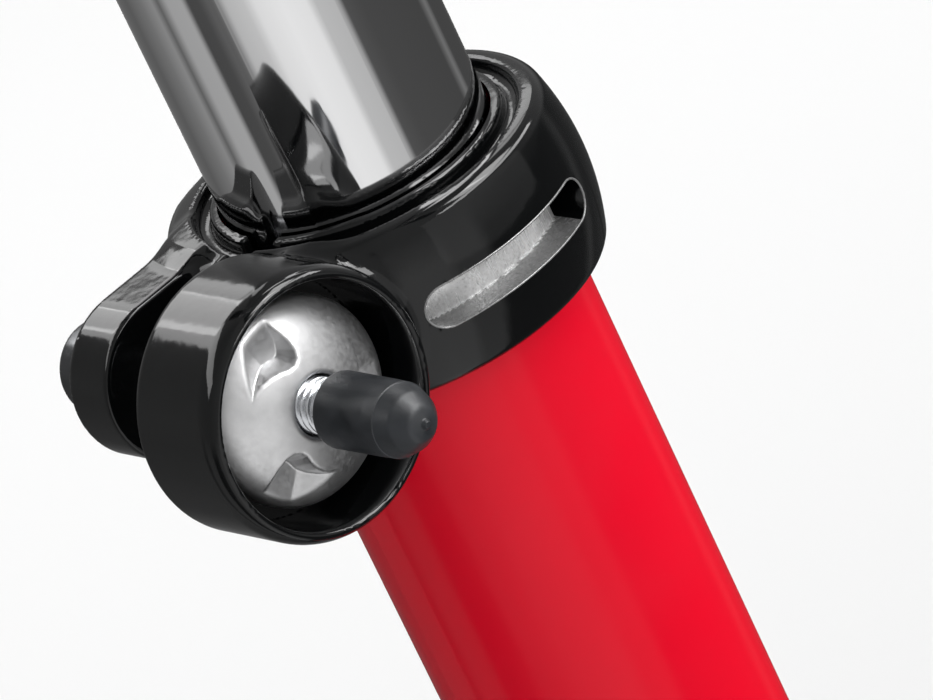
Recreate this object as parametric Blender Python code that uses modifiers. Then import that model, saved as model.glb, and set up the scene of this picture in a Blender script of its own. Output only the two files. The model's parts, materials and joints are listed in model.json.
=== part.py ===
"""Child's pogo stick with a height-adjustable T handlebar held by a bolted clamp collar.

Metres, +Z up. The origin is on the ground under the middle of the rubber tip, the tube axis is
the Z axis, the steps and the handlebar lie along X, and the clamp's ears point to -Y with the
clamp bolt along X: its head on the -X side, its dome nut and rubber thread cap on the +X side.
At rest the plunger is fully out and the handlebar stands in the middle of its travel.
"""
import math

import bmesh
import bpy
from mathutils import Matrix, Vector

MM = 0.001
GAP = 0.3 * MM                      # clearance between pieces that touch or run in each other
MERGE = 0.00001                     # merge distance of turned profiles

# Tubes
MAIN_RADIUS = 14.3 * MM             # 28.6 mm (1 1/8 in) main tube
MAIN_BORE = 13.0 * MM
STEM_RADIUS = 12.7 * MM             # 25.4 mm (1 in) handlebar stem
STEM_WALL = 1.5 * MM
BAR_RADIUS = 11.1 * MM              # 22.2 mm (7/8 in) handlebar
BAR_WALL = 1.5 * MM
PLUNGER_RADIUS = 9.5 * MM           # 19 mm plunger
PLUNGER_WALL = 2.0 * MM
STEP_RADIUS = 11.0 * MM             # 22 mm step tubes
STEP_WALL = 1.5 * MM

# Heights above the ground
COLLAR_TOP = 700 * MM               # top of the clamp collar's lip
MAIN_TOP = COLLAR_TOP - 3.3 * MM
MAIN_BOTTOM = 158 * MM
SCREW_HEIGHT = 166 * MM             # screws of the bottom cap
SCREW_COUNT = 3
STEP_HEIGHT = 222 * MM              # axis of the step tubes
BAR_HEIGHT = 930 * MM               # axis of the handlebar
STEM_BOTTOM = 540 * MM
HEAD_BOTTOM = 196.6 * MM            # underside of the plunger's head, on the rebound ring
HEAD_TOP = 214 * MM
SEAT_BOTTOM = 404.3 * MM            # underside of the fixed upper spring seat
SEAT_TOP = 414 * MM
SEAT_PIN_HEIGHT = 417.7 * MM        # axis of the rivet that the seat bears on
SEAT_PIN_RADIUS = 3.0 * MM
HEAD_PIN_HEIGHT = 203 * MM          # axis of the pin that holds the plunger's head
HEAD_PIN_RADIUS = 2.0 * MM
CAP_TOP = 175 * MM                  # bottom cap
CAP_BOTTOM = 149 * MM
TIP_HEIGHT = 48 * MM
TIP_SOCKET = 12 * MM                # floor of the socket in the rubber tip

# Main spring, fully out at rest
SPRING_WIRE = 3.2 * MM
SPRING_MEAN = 10.0 * MM
SPRING_TURNS = 13

# Steps and handlebar along X
STEP_END = 130 * MM
TREAD_START = 36 * MM
TREAD_END = 132 * MM
TREAD_SCREW = 84 * MM               # distance of a tread's screw from the main tube's axis
TREAD_FLAT = 14.5 * MM              # a tread's flat top above its step tube's axis
TREAD_RADIUS = 16.5 * MM            # a tread's round underside
GROOVE_COUNT = 8                    # grooves across a tread's flat top
BAR_HALF = 168 * MM
GRIP_START = 56 * MM
GRIP_END = 167 * MM
GRIP_RADIUS = 15.5 * MM

# Clamp collar, heights below its lip
BOLT_REACH = 24.6 * MM              # from the tube's axis to the bolt's axis, towards -Y
BOLT_DROP = 7.2 * MM                # bolt axis below the lip
BOLT_RADIUS = 2.5 * MM              # M5
BOLT_HOLE = BOLT_RADIUS + GAP
SLIT = (-0.6 * MM, 3.2 * MM)        # sides of the collar's slit along X
FAR_EAR = (-9.4 * MM, -3.8 * MM)    # the bolt head's ear along X
NEAR_EAR = (2.0 * MM, 9.0 * MM)     # the cup's ear along X, before the slit trims it
EAR_RADIUS = 7.5 * MM
EAR_REACH = 23.7 * MM               # centre of the ears' round ends, towards -Y and below the lip
EAR_DROP = 7.68 * MM
CUP_BACK = 7.5 * MM
CUP_RIM = 17.9 * MM
CUP_RADIUS = 12.0 * MM
CUP_BORE = 10.7 * MM
CUP_FLOOR = 10.6 * MM
WINDOW_FLOOR = 15.1 * MM            # radius of the side window's floor
WINDOW_DROP = 8.6 * MM
WINDOW_HALF_HEIGHT = 2.0 * MM
WINDOW_SPAN = (-9.45 * MM, 9.8 * MM)

CAP_START = 20.8 * MM               # mouth of the thread cap along X

# Dome nut, measured along X from the tube's axis
NUT_RADIUS = 9.2 * MM
NUT_BACK = 12.2 * MM
NUT_EDGE = 14.7 * MM
DOME_RADIUS = 13.6 * MM
DOME_CENTRE = 4.75 * MM
NOTCH_FIRST = math.radians(16)
NOTCH_COUNT = 3
NOTCH_FLOOR = 15.5 * MM
NOTCH_OUTLINE = [(4.4, 12), (2.8, 7.2), (2.4, 5.8), (1.4, 4.5), (0.15, 4.55), (-1.5, 5.2), (-3.93, 5.0),
                 (-6.5, 4.3), (-9, 12)]     # mm to the side and out from the bolt's axis

BOLT_HEIGHT = COLLAR_TOP - BOLT_DROP
BOLT_AXIS = Vector((0, -BOLT_REACH, BOLT_HEIGHT))
ALONG_X = (0, math.pi / 2, 0)       # turns a piece made along Z so that it lies along X
ALONG_Y = (-math.pi / 2, 0, 0)
OUTLINE_YZ = (math.pi / 2, 0, math.pi / 2)
OUTLINE_XZ = (math.pi / 2, 0, 0)


# ---------------------------------------------------------------- scene and materials

def clear_scene():
    for old in list(bpy.data.objects):
        bpy.data.objects.remove(old, do_unlink=True)


def new_collection(name):
    made = bpy.data.collections.new(name)
    bpy.context.scene.collection.children.link(made)
    return made


def material(name, color, roughness, metallic=0.0):
    made = bpy.data.materials.new(name)
    made.use_nodes = True
    shader = made.node_tree.nodes["Principled BSDF"]
    shader.inputs["Base Color"].default_value = (*color, 1)
    shader.inputs["Roughness"].default_value = roughness
    shader.inputs["Metallic"].default_value = metallic
    return made


def place(obj, location=(0, 0, 0), rotation=(0, 0, 0), mat=None):
    """Put a new object in the pogo stick's collection with its material."""
    PARTS.objects.link(obj)
    obj.location = location
    obj.rotation_euler = rotation
    if mat:
        obj.data.materials.append(mat)
    return obj


def as_cutter(obj):
    for group in list(obj.users_collection):
        group.objects.unlink(obj)
    CUTTERS.objects.link(obj)
    obj.hide_render = True
    obj.display_type = "WIRE"
    return obj


def cut(obj, cutter, operation="DIFFERENCE"):
    step = obj.modifiers.new(operation.title(), "BOOLEAN")
    step.operation = operation
    step.object = as_cutter(cutter)
    return obj


# ---------------------------------------------------------------- shape helpers

def turned(name, profile, steps=32, location=(0, 0, 0), rotation=(0, 0, 0), mat=None):
    """A (radius, height) profile turned about Z. It runs down its outer side; a ring's is closed."""
    mesh = bpy.data.meshes.new(name)
    points = [(radius, 0, height) for radius, height in profile]
    edges = [(i, i + 1) for i in range(len(points) - 1)]
    if profile[0][0] > MERGE:
        edges.append((len(points) - 1, 0))
    mesh.from_pydata(points, edges, [])
    obj = place(bpy.data.objects.new(name, mesh), location, rotation, mat)
    screw = obj.modifiers.new("Turn", "SCREW")
    screw.steps = steps
    screw.render_steps = steps
    screw.use_merge_vertices = True
    screw.merge_threshold = MERGE
    screw.use_smooth_shade = True
    return obj


def ring(name, inner, outer, low, high, **options):
    """A plain turned ring or length of tube."""
    return turned(name, [(inner, high), (outer, high), (outer, low), (inner, low)], **options)


def disc(name, radius, low, high, **options):
    """A plain turned solid cylinder."""
    return turned(name, [(0, high), (radius, high), (radius, low), (0, low)], **options)


def flat_outline(name, points, thickness, location, rotation, mat=None):
    """A closed flat outline, extruded evenly to both sides of its plane, as a welded mesh."""
    curve = bpy.data.curves.new(name, "CURVE")
    curve.dimensions = "2D"
    curve.fill_mode = "BOTH"
    curve.extrude = thickness / 2
    line = curve.splines.new("POLY")
    line.points.add(len(points) - 1)
    for spot, (x, y) in zip(line.points, points):
        spot.co = (x, y, 0, 1)
    line.use_cyclic_u = True
    return curve_to_mesh(name, place(bpy.data.objects.new(name, curve)), location, rotation, mat)


def curve_to_mesh(name, guide, location=(0, 0, 0), rotation=(0, 0, 0), mat=None):
    bpy.context.view_layer.update()
    mesh = bpy.data.meshes.new_from_object(guide.evaluated_get(bpy.context.evaluated_depsgraph_get()))
    bpy.data.objects.remove(guide)
    shell = bmesh.new()
    shell.from_mesh(mesh)
    bmesh.ops.remove_doubles(shell, verts=shell.verts, dist=MERGE)
    bmesh.ops.recalc_face_normals(shell, faces=shell.faces)
    shell.to_mesh(mesh)
    shell.free()
    mesh.name = name
    return place(bpy.data.objects.new(name, mesh), location, rotation, mat)


def arc(centre, radius, start, end, count):
    """Points of an arc, angles in degrees, both ends included."""
    angles = [math.radians(start + (end - start) * i / (count - 1)) for i in range(count)]
    return [(centre[0] + radius * math.cos(a), centre[1] + radius * math.sin(a)) for a in angles]


def block(name, low, high):
    """A box between two corners."""
    shell = bmesh.new()
    bmesh.ops.create_cube(shell, size=1)
    size = [b - a for a, b in zip(low, high)]
    middle = [(a + b) / 2 for a, b in zip(low, high)]
    bmesh.ops.scale(shell, verts=shell.verts, vec=size)
    bmesh.ops.translate(shell, verts=shell.verts, vec=middle)
    mesh = bpy.data.meshes.new(name)
    shell.to_mesh(mesh)
    shell.free()
    return place(bpy.data.objects.new(name, mesh))


def soften(obj, width, segments=2):
    step = obj.modifiers.new("Rounded edges", "BEVEL")
    step.width = width
    step.segments = segments
    step.limit_method = "ANGLE"
    step.angle_limit = math.radians(40)
    return obj


# ---------------------------------------------------------------- clamp collar and its hardware

def collar_profile():
    """The collar's ring with its lip, groove and rounded shoulder, from the top of the bore outwards."""
    lip = [(13.0, -0.15), (13.15, 0.0), (13.65, 0.0), (13.85, -0.25)]
    groove = [(13.95, -1.2), (14.35, -1.55), (14.85, -1.45)]
    shoulder = [(15.2, -1.0), (15.8, -0.65), (16.5, -0.55), (17.2, -0.8), (17.6, -1.4), (17.8, -2.2)]
    barrel = [(18.45, -5.6), (18.65, -8.2), (18.35, -12.1), (17.8, -14.8)]
    foot = [(17.55, -15.6), (17.1, -16.0), (14.6, -16.0), (14.6, -3.0), (13.0, -3.0)]
    return [(r * MM, z * MM) for r, z in lip + groove + shoulder + barrel + foot]


def ear(name, span):
    """One of the clamp's ears: a thick plate with a round end about the bolt."""
    root = -15.0 * MM
    top = -EAR_DROP + EAR_RADIUS
    bottom = -EAR_DROP - EAR_RADIUS
    outline = [(root, bottom), (root, top)]
    outline += arc((-EAR_REACH, -EAR_DROP), EAR_RADIUS, 90, 270, 13)
    middle = (span[0] + span[1]) / 2
    made = flat_outline(name, outline, span[1] - span[0], (middle, 0, COLLAR_TOP), OUTLINE_YZ)
    return soften(made, 0.7 * MM)


def cup():
    """The round boss that holds the dome nut, with a rounded rim."""
    rim = [(0, CUP_RIM), (10.9 * MM, CUP_RIM), (11.35 * MM, CUP_RIM - 0.12 * MM)]
    rim += [(11.8 * MM, CUP_RIM - 0.6 * MM), (CUP_RADIUS, CUP_RIM - 1.3 * MM)]
    back = [(CUP_RADIUS, CUP_BACK + 0.8 * MM), (CUP_RADIUS - 0.6 * MM, CUP_BACK), (0, CUP_BACK)]
    return turned("cup_boss", rim + back, 36, BOLT_AXIS, ALONG_X)


def side_window():
    """Cutter of the long pocket in the collar's side: round ends, and a floor round the tube."""
    half = WINDOW_HALF_HEIGHT
    outline = arc((WINDOW_SPAN[1] - half, -WINDOW_DROP), half, -90, 90, 9)
    outline += arc((WINDOW_SPAN[0] + half, -WINDOW_DROP), half, 90, 270, 9)
    slot = flat_outline("window_slot", outline, 24 * MM, (20 * MM, 0, COLLAR_TOP), OUTLINE_YZ)
    band = ring("window_band", WINDOW_FLOOR, 22 * MM, -13 * MM, -5 * MM, steps=52,
                location=(0, 0, COLLAR_TOP))
    return cut(slot, band, "INTERSECT")


def clamp_collar(mat):
    obj = turned("clamp_collar", collar_profile(), 52, (0, 0, COLLAR_TOP), mat=mat)
    cut(obj, ear("far_ear", FAR_EAR), "UNION")
    cut(obj, ear("near_ear", NEAR_EAR), "UNION")
    cut(obj, cup(), "UNION")
    cut(obj, disc("nut_recess", CUP_BORE, CUP_FLOOR, CUP_RIM + 5 * MM, steps=36,
                  location=BOLT_AXIS, rotation=ALONG_X))
    cut(obj, disc("bolt_hole", BOLT_HOLE, -14 * MM, 14 * MM, steps=24,
                  location=BOLT_AXIS, rotation=ALONG_X))
    cut(obj, side_window())
    slit_low = (SLIT[0], -36 * MM, COLLAR_TOP - 20 * MM)
    slit_high = (SLIT[1], -11 * MM, COLLAR_TOP + 2 * MM)
    cut(obj, block("collar_slit", slit_low, slit_high))
    return obj


def clamp_bolt(mat):
    """M5 socket-head bolt, its head against the washer on the far ear."""
    seat = FAR_EAR[0] - 1.3 * MM
    head_top = seat - 3.4 * MM
    end = CAP_START + 8.6 * MM
    profile = [(0, end), (1.9 * MM, end), (BOLT_RADIUS, end - 0.8 * MM), (BOLT_RADIUS, seat)]
    profile += [(4.25 * MM, seat), (4.25 * MM, head_top + 0.5 * MM), (3.9 * MM, head_top), (0, head_top)]
    obj = turned("clamp_bolt", profile, 28, BOLT_AXIS, ALONG_X, mat)
    socket = disc("hex_socket", 2.3 * MM, head_top - 1 * MM, head_top + 2.0 * MM, steps=6,
                  location=BOLT_AXIS, rotation=ALONG_X)
    return cut(obj, socket)


def bolt_washer(mat):
    return ring("bolt_washer", BOLT_HOLE, 4.9 * MM, FAR_EAR[0] - 1.0 * MM, FAR_EAR[0] - GAP, steps=28,
                location=BOLT_AXIS, rotation=ALONG_X, mat=mat)


def nut_washer(mat):
    return ring("nut_washer", BOLT_HOLE, 7.6 * MM, CUP_FLOOR + GAP, NUT_BACK - GAP, steps=28,
                location=BOLT_AXIS, rotation=ALONG_X, mat=mat)


def dome(radius):
    """Height of the nut's dome along the bolt at a distance from the bolt's axis."""
    return DOME_CENTRE + math.sqrt(DOME_RADIUS ** 2 - radius ** 2)


def notch(number):
    """Cutter of one finger notch: a bar along the bolt with a crooked inner wall and a flat floor."""
    depth = 8 * MM
    turn = NOTCH_FIRST + number * math.tau / NOTCH_COUNT
    outline = []
    for side, out in NOTCH_OUTLINE:
        y = side * math.cos(turn) - out * math.sin(turn)
        z = side * math.sin(turn) + out * math.cos(turn)
        outline.append((y * MM, z * MM))
    middle = Vector((NOTCH_FLOOR + depth / 2, 0, 0)) + BOLT_AXIS
    return flat_outline("notch", outline, depth, middle, OUTLINE_YZ)


def clamp_nut(mat):
    """Dome nut with three finger notches, lying in the cup."""
    hole = 3.0 * MM
    crown = [hole + (NUT_RADIUS - 0.35 * MM - hole) * i / 6 for i in range(7)]
    profile = [(BOLT_HOLE, dome(hole) - 0.6 * MM)] + [(r, dome(r)) for r in crown]
    profile += [(NUT_RADIUS, NUT_EDGE - 0.5 * MM), (NUT_RADIUS - 0.6 * MM, NUT_BACK), (BOLT_HOLE, NUT_BACK)]
    obj = turned("clamp_nut", profile, 36, BOLT_AXIS, ALONG_X, mat)
    for number in range(NOTCH_COUNT):
        cut(obj, notch(number))
    return obj


def thread_cap(mat):
    """Rubber cap over the bolt's thread end, with a domed nose and a moulding nub."""
    nose = [(0, 11.5), (0.45, 11.4), (0.6, 11.1), (1.3, 10.9), (2.2, 10.1), (2.9, 8.8), (3.2, 8.0)]
    nose.append((3.3, 7.6))
    mouth = [(3.35, 0.3), (3.2, 0.0), (2.8, 0.0), (2.8, 9.0), (0, 9.2)]
    profile = [(r * MM, CAP_START + z * MM) for r, z in nose + mouth]
    return turned("thread_cap", profile, 20, BOLT_AXIS, ALONG_X, mat)


# ---------------------------------------------------------------- main tube and steps

def main_tube(mat):
    obj = ring("main_tube", MAIN_BORE, MAIN_RADIUS, MAIN_BOTTOM, MAIN_TOP, steps=32, mat=mat)
    low = (-1.5 * MM, -20 * MM, MAIN_TOP - 12 * MM)
    high = (1.5 * MM, -5 * MM, MAIN_TOP + 1 * MM)
    cut(obj, block("tube_slot", low, high))
    pin_hole = disc("pin_hole", SEAT_PIN_RADIUS + GAP, -20 * MM, 20 * MM, steps=20,
                    location=(0, 0, SEAT_PIN_HEIGHT), rotation=ALONG_Y)
    cut(obj, pin_hole)
    return cut_screw_holes(obj)


def screw_direction(number):
    """Rotation that points a piece made along Z outwards, square to the tube."""
    return (0, math.pi / 2, math.radians(90 + 120 * number))


def cut_screw_holes(obj):
    """Cut the holes of the screws round the bottom of the tube."""
    for number in range(SCREW_COUNT):
        cut(obj, disc("screw_hole", 2.3 * MM, 11 * MM, 20 * MM, steps=16,
                      location=(0, 0, SCREW_HEIGHT), rotation=screw_direction(number)))
    return obj


def bottom_cap(mat):
    """Nylon cap over the tube's lower end. The plunger runs through it."""
    bore = PLUNGER_RADIUS + GAP
    fit = MAIN_RADIUS + GAP
    outside = 17.2 * MM
    profile = [(fit, CAP_TOP), (outside - 0.6 * MM, CAP_TOP), (outside, CAP_TOP - 1 * MM)]
    profile += [(outside, CAP_BOTTOM + 3 * MM), (outside - 1.6 * MM, CAP_BOTTOM), (bore, CAP_BOTTOM)]
    profile += [(bore, MAIN_BOTTOM - GAP), (fit, MAIN_BOTTOM - GAP)]
    return cut_screw_holes(turned("bottom_cap", profile, 28, mat=mat))


def guide_bush(mat):
    """Nylon bush inside the tube's lower end that guides the plunger."""
    bore = PLUNGER_RADIUS + 0.1 * MM
    low = MAIN_BOTTOM + GAP
    high = MAIN_BOTTOM + 32 * MM
    return cut_screw_holes(ring("guide_bush", bore, MAIN_BORE - GAP, low, high, steps=24, mat=mat))


def cap_screw(number, mat):
    """One of the button-head screws that hold the cap, the tube's end and the bush together."""
    profile = [(0, 19.4), (2.0, 19.1), (3.3, 18.2), (3.5, 17.5), (2.0, 17.5), (2.0, 11.5), (0, 11.5)]
    profile = [(r * MM, z * MM) for r, z in profile]
    return turned("cap_screw_%d" % (number + 1), profile, 16, (0, 0, SCREW_HEIGHT),
                  screw_direction(number), mat)


def step_tube(name, side, mat):
    """A stub of tube coped to the main tube."""
    obj = ring(name, STEP_RADIUS - STEP_WALL, STEP_RADIUS, 5 * MM, STEP_END, steps=24,
               location=(0, 0, STEP_HEIGHT), rotation=(0, side * math.pi / 2, 0), mat=mat)
    cope = disc("cope", MAIN_RADIUS + GAP, -30 * MM, 30 * MM, steps=40, location=(0, 0, STEP_HEIGHT))
    cut(obj, cope)
    hole = disc("tread_hole", 2.0 * MM, -14 * MM, 0, steps=16,
                location=(side * TREAD_SCREW, 0, STEP_HEIGHT))
    return cut(obj, hole)


def step_gusset(name, side, mat):
    """Plate under a step tube, welded to it and to the main tube, with a hollowed free edge."""
    near = MAIN_RADIUS + GAP
    top = -STEP_RADIUS - GAP
    outline = [(near, top), (TREAD_START - 2 * MM, top), (TREAD_START - 3 * MM, top - 3 * MM)]
    outline += arc((near + 21 * MM, top - 24 * MM), 17 * MM, 105, 175, 7)
    outline += [(near + 3.5 * MM, top - 33 * MM), (near, top - 33 * MM)]
    outline = [(side * x, z) for x, z in outline]
    return flat_outline(name, outline, 4 * MM, (0, 0, STEP_HEIGHT), OUTLINE_XZ, mat)


def tread(name, side, mat):
    """Rubber sleeve of a step: a flat top with cross grooves, and a round underside."""
    half_width = 17 * MM
    flat = TREAD_FLAT
    outline = arc((0, 0), TREAD_RADIUS, 200, 340, 13)
    outline += arc((half_width - 3 * MM, flat - 3 * MM), 3 * MM, 0, 90, 4)
    outline += arc((-half_width + 3 * MM, flat - 3 * MM), 3 * MM, 90, 180, 4)
    length = TREAD_END - TREAD_START
    middle = side * (TREAD_START + TREAD_END) / 2
    obj = flat_outline(name, outline, length, (middle, 0, STEP_HEIGHT), OUTLINE_YZ, mat)
    bore = disc("tread_bore", STEP_RADIUS + GAP, 0, 200 * MM, steps=24,
                location=(0, 0, STEP_HEIGHT), rotation=(0, side * math.pi / 2, 0))
    cut(obj, bore)
    for number in range(GROOVE_COUNT):
        x = side * (TREAD_START + (number + 1) * (TREAD_END - TREAD_START) / (GROOVE_COUNT + 1))
        low = (x - 1.5 * MM, -20 * MM, STEP_HEIGHT + flat - 1.4 * MM)
        high = (x + 1.5 * MM, 20 * MM, STEP_HEIGHT + flat + 2 * MM)
        cut(obj, block("tread_groove", low, high))
    hole = disc("tread_screw_hole", 2.0 * MM, -20 * MM, 0, steps=16,
                location=(side * TREAD_SCREW, 0, STEP_HEIGHT))
    recess = disc("tread_screw_seat", 4.0 * MM, -20 * MM, -13.9 * MM, steps=20,
                  location=(side * TREAD_SCREW, 0, STEP_HEIGHT))
    cut(obj, hole)
    return cut(obj, recess)


def tread_screw(name, side, mat):
    """Pan-head screw that holds a tread to its step tube from below."""
    profile = [(0, -7.5 * MM), (1.2 * MM, -7.5 * MM), (1.7 * MM, -8.3 * MM), (1.7 * MM, -14.2 * MM)]
    profile += [(3.5 * MM, -14.2 * MM), (3.5 * MM, -15.2 * MM), (2.6 * MM, -16.2 * MM), (0, -16.4 * MM)]
    return turned(name, profile, 20, (side * TREAD_SCREW, 0, STEP_HEIGHT), mat=mat)


def tube_plug(name, side, bore, end, height, head, mat):
    """Push-in end plug: a spigot in the tube and a domed head over its end."""
    spigot = bore - GAP
    face = end + GAP
    profile = [(0, face + 3.2 * MM), (head * 0.55, face + 2.9 * MM), (head * 0.9, face + 1.9 * MM)]
    profile += [(head, face + 0.8 * MM), (head, face), (spigot, face), (spigot, end - 14 * MM)]
    profile += [(spigot - 2 * MM, end - 16 * MM), (0, end - 16 * MM)]
    return turned(name, profile, 20, (0, 0, height), (0, side * math.pi / 2, 0), mat)


# ---------------------------------------------------------------- spring and plunger

def spring_seat(mat):
    """Nylon seat of the spring's upper end, with a pilot that centres the spring."""
    hole = 3.5 * MM
    outside = MAIN_BORE - GAP
    pilot = SEAT_BOTTOM - 7 * MM
    profile = [(hole, SEAT_TOP), (outside - 0.5 * MM, SEAT_TOP), (outside, SEAT_TOP - 0.6 * MM)]
    profile += [(outside, SEAT_BOTTOM), (8.0 * MM, SEAT_BOTTOM), (7.6 * MM, pilot), (hole, pilot)]
    return turned("spring_seat", profile, 24, mat=mat)


def seat_pin(mat):
    """Rivet across the main tube that the upper spring seat bears on."""
    head = [(0, 17.4), (1.8, 17.2), (3.8, 16.2), (4.6, 14.8)]
    head = [(r * MM, z * MM) for r, z in head]
    under_head = head[-1][1]
    profile = head + [(SEAT_PIN_RADIUS, under_head), (SEAT_PIN_RADIUS, -under_head)]
    profile += [(r, -z) for r, z in reversed(head)]
    return turned("seat_pin", profile, 20, (0, 0, SEAT_PIN_HEIGHT), ALONG_Y, mat)


def main_spring(mat):
    """Compression spring between the plunger's head and the upper seat."""
    low = HEAD_TOP + GAP + SPRING_WIRE / 2 + 0.05 * MM
    high = SEAT_BOTTOM - GAP - SPRING_WIRE / 2 - 0.05 * MM
    per_turn = 10
    count = SPRING_TURNS * per_turn + 1
    curve = bpy.data.curves.new("main_spring", "CURVE")
    curve.dimensions = "3D"
    curve.bevel_depth = SPRING_WIRE / 2
    curve.bevel_resolution = 2
    curve.use_fill_caps = True
    line = curve.splines.new("POLY")
    line.points.add(count - 1)
    for number, spot in enumerate(line.points):
        share = number / (count - 1)
        angle = share * SPRING_TURNS * math.tau
        height = low + (high - low) * share
        spot.co = (SPRING_MEAN * math.cos(angle), SPRING_MEAN * math.sin(angle), height, 1)
    return curve_to_mesh("main_spring", place(bpy.data.objects.new("main_spring", curve)), mat=mat)


def rebound_ring(mat):
    """Rubber ring on the bush that softens the plunger's rebound."""
    bore = PLUNGER_RADIUS + 0.4 * MM
    outside = 12.6 * MM
    chamfer = 0.6 * MM
    top = HEAD_BOTTOM - 0.4 * MM
    low = MAIN_BOTTOM + 32.4 * MM
    profile = [(bore, top), (outside - chamfer, top), (outside, top - 1 * MM), (outside, low + 1 * MM)]
    profile += [(outside - chamfer, low), (bore, low)]
    return turned("rebound_ring", profile, 24, mat=mat)


def plunger_head(mat):
    """Piston on top of the plunger tube: it pushes the spring and stops on the rebound ring."""
    socket = PLUNGER_RADIUS + GAP
    outside = 12.6 * MM
    crown = HEAD_TOP - 4.7 * MM
    profile = [(0, HEAD_TOP), (outside - 0.5 * MM, HEAD_TOP), (outside, HEAD_TOP - 0.5 * MM)]
    profile += [(outside, HEAD_BOTTOM), (socket, HEAD_BOTTOM), (socket, crown), (0, crown)]
    obj = turned("plunger_head", profile, 24, mat=mat)
    return cut(obj, head_pin_hole())


def head_pin_hole():
    return disc("head_pin_hole", HEAD_PIN_RADIUS + GAP, -16 * MM, 16 * MM, steps=16,
                location=(0, 0, HEAD_PIN_HEIGHT), rotation=ALONG_Y)


def head_pin(mat):
    return disc("head_pin", HEAD_PIN_RADIUS, -12.3 * MM, 12.3 * MM, steps=20,
                location=(0, 0, HEAD_PIN_HEIGHT), rotation=ALONG_Y, mat=mat)


def plunger_tube(mat):
    low = TIP_SOCKET + 2.4 * MM
    high = HEAD_TOP - 5 * MM
    obj = ring("plunger_tube", PLUNGER_RADIUS - PLUNGER_WALL, PLUNGER_RADIUS, low, high, steps=24, mat=mat)
    return cut(obj, head_pin_hole())


def foot_tip(mat):
    """Rubber foot: a flared base with a treaded underside edge and a ribbed neck over the plunger."""
    socket = PLUNGER_RADIUS + GAP
    top = TIP_HEIGHT
    outside = [(socket, top), (12.4 * MM, top), (13.2 * MM, top - 0.8 * MM), (13.4 * MM, top - 3 * MM)]
    for number in range(2):
        crest = top - (7 + 7 * number) * MM
        outside += [(12.7 * MM, crest + 1.5 * MM), (14.0 * MM, crest + 0.8 * MM)]
        outside += [(14.0 * MM, crest - 0.8 * MM), (12.9 * MM, crest - 1.5 * MM)]
    outside += [(13.6 * MM, top - 21 * MM), (16.5 * MM, 19 * MM), (20.5 * MM, 12.5 * MM), (21.5 * MM, 9 * MM)]
    outside += [(21.5 * MM, 2 * MM), (19.8 * MM, 0), (0, 0)]
    return turned("foot_tip", [(0, TIP_SOCKET), (socket, TIP_SOCKET)] + outside, 32, mat=mat)


def tip_washer(mat):
    return disc("tip_washer", 9.4 * MM, TIP_SOCKET + GAP, TIP_SOCKET + 2.1 * MM, steps=28, mat=mat)


# ---------------------------------------------------------------- handlebar

def stem_tube(mat):
    obj = ring("stem_tube", STEM_RADIUS - STEM_WALL, STEM_RADIUS, STEM_BOTTOM, BAR_HEIGHT, steps=32, mat=mat)
    cope = disc("bar_cope", BAR_RADIUS + GAP, -30 * MM, 30 * MM, steps=40,
                location=(0, 0, BAR_HEIGHT), rotation=ALONG_X)
    cut(obj, cope)
    half = 30 * MM
    trim = block("stem_trim", (-half, -half, BAR_HEIGHT - 3 * MM), (half, half, BAR_HEIGHT + 3 * MM))
    return cut(obj, trim)


def stem_plug(mat):
    """Nylon plug in the stem's lower end, a little over the stem's size to guide it in the tube."""
    head = STEM_RADIUS + 0.05 * MM
    low = STEM_BOTTOM - 5.3 * MM
    face = STEM_BOTTOM - GAP
    spigot = STEM_RADIUS - STEM_WALL - GAP
    high = STEM_BOTTOM + 18 * MM
    profile = [(0, high), (spigot - 1 * MM, high), (spigot, high - 2 * MM), (spigot, face)]
    profile += [(head, face), (head, low + 1 * MM), (head - 1 * MM, low), (0, low)]
    return turned("stem_plug", profile, 24, mat=mat)


def handle_bar(mat):
    return ring("handle_bar", BAR_RADIUS - BAR_WALL, BAR_RADIUS, -BAR_HALF, BAR_HALF, steps=28,
                location=(0, 0, BAR_HEIGHT), rotation=ALONG_X, mat=mat)


def grip(name, side, mat):
    """Foam grip with rounded ends."""
    bore = BAR_RADIUS + GAP
    corner = [(2.0, 0.0), (0.5, 0.8), (0.0, 2.5)]
    corner = [(GRIP_RADIUS - inset * MM, depth * MM) for inset, depth in corner]
    profile = [(bore, GRIP_END)] + [(r, GRIP_END - depth) for r, depth in corner]
    profile += [(r, GRIP_START + depth) for r, depth in reversed(corner)] + [(bore, GRIP_START)]
    return turned(name, profile, 24, (0, 0, BAR_HEIGHT), (0, side * math.pi / 2, 0), mat)


# ---------------------------------------------------------------- assembly

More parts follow.
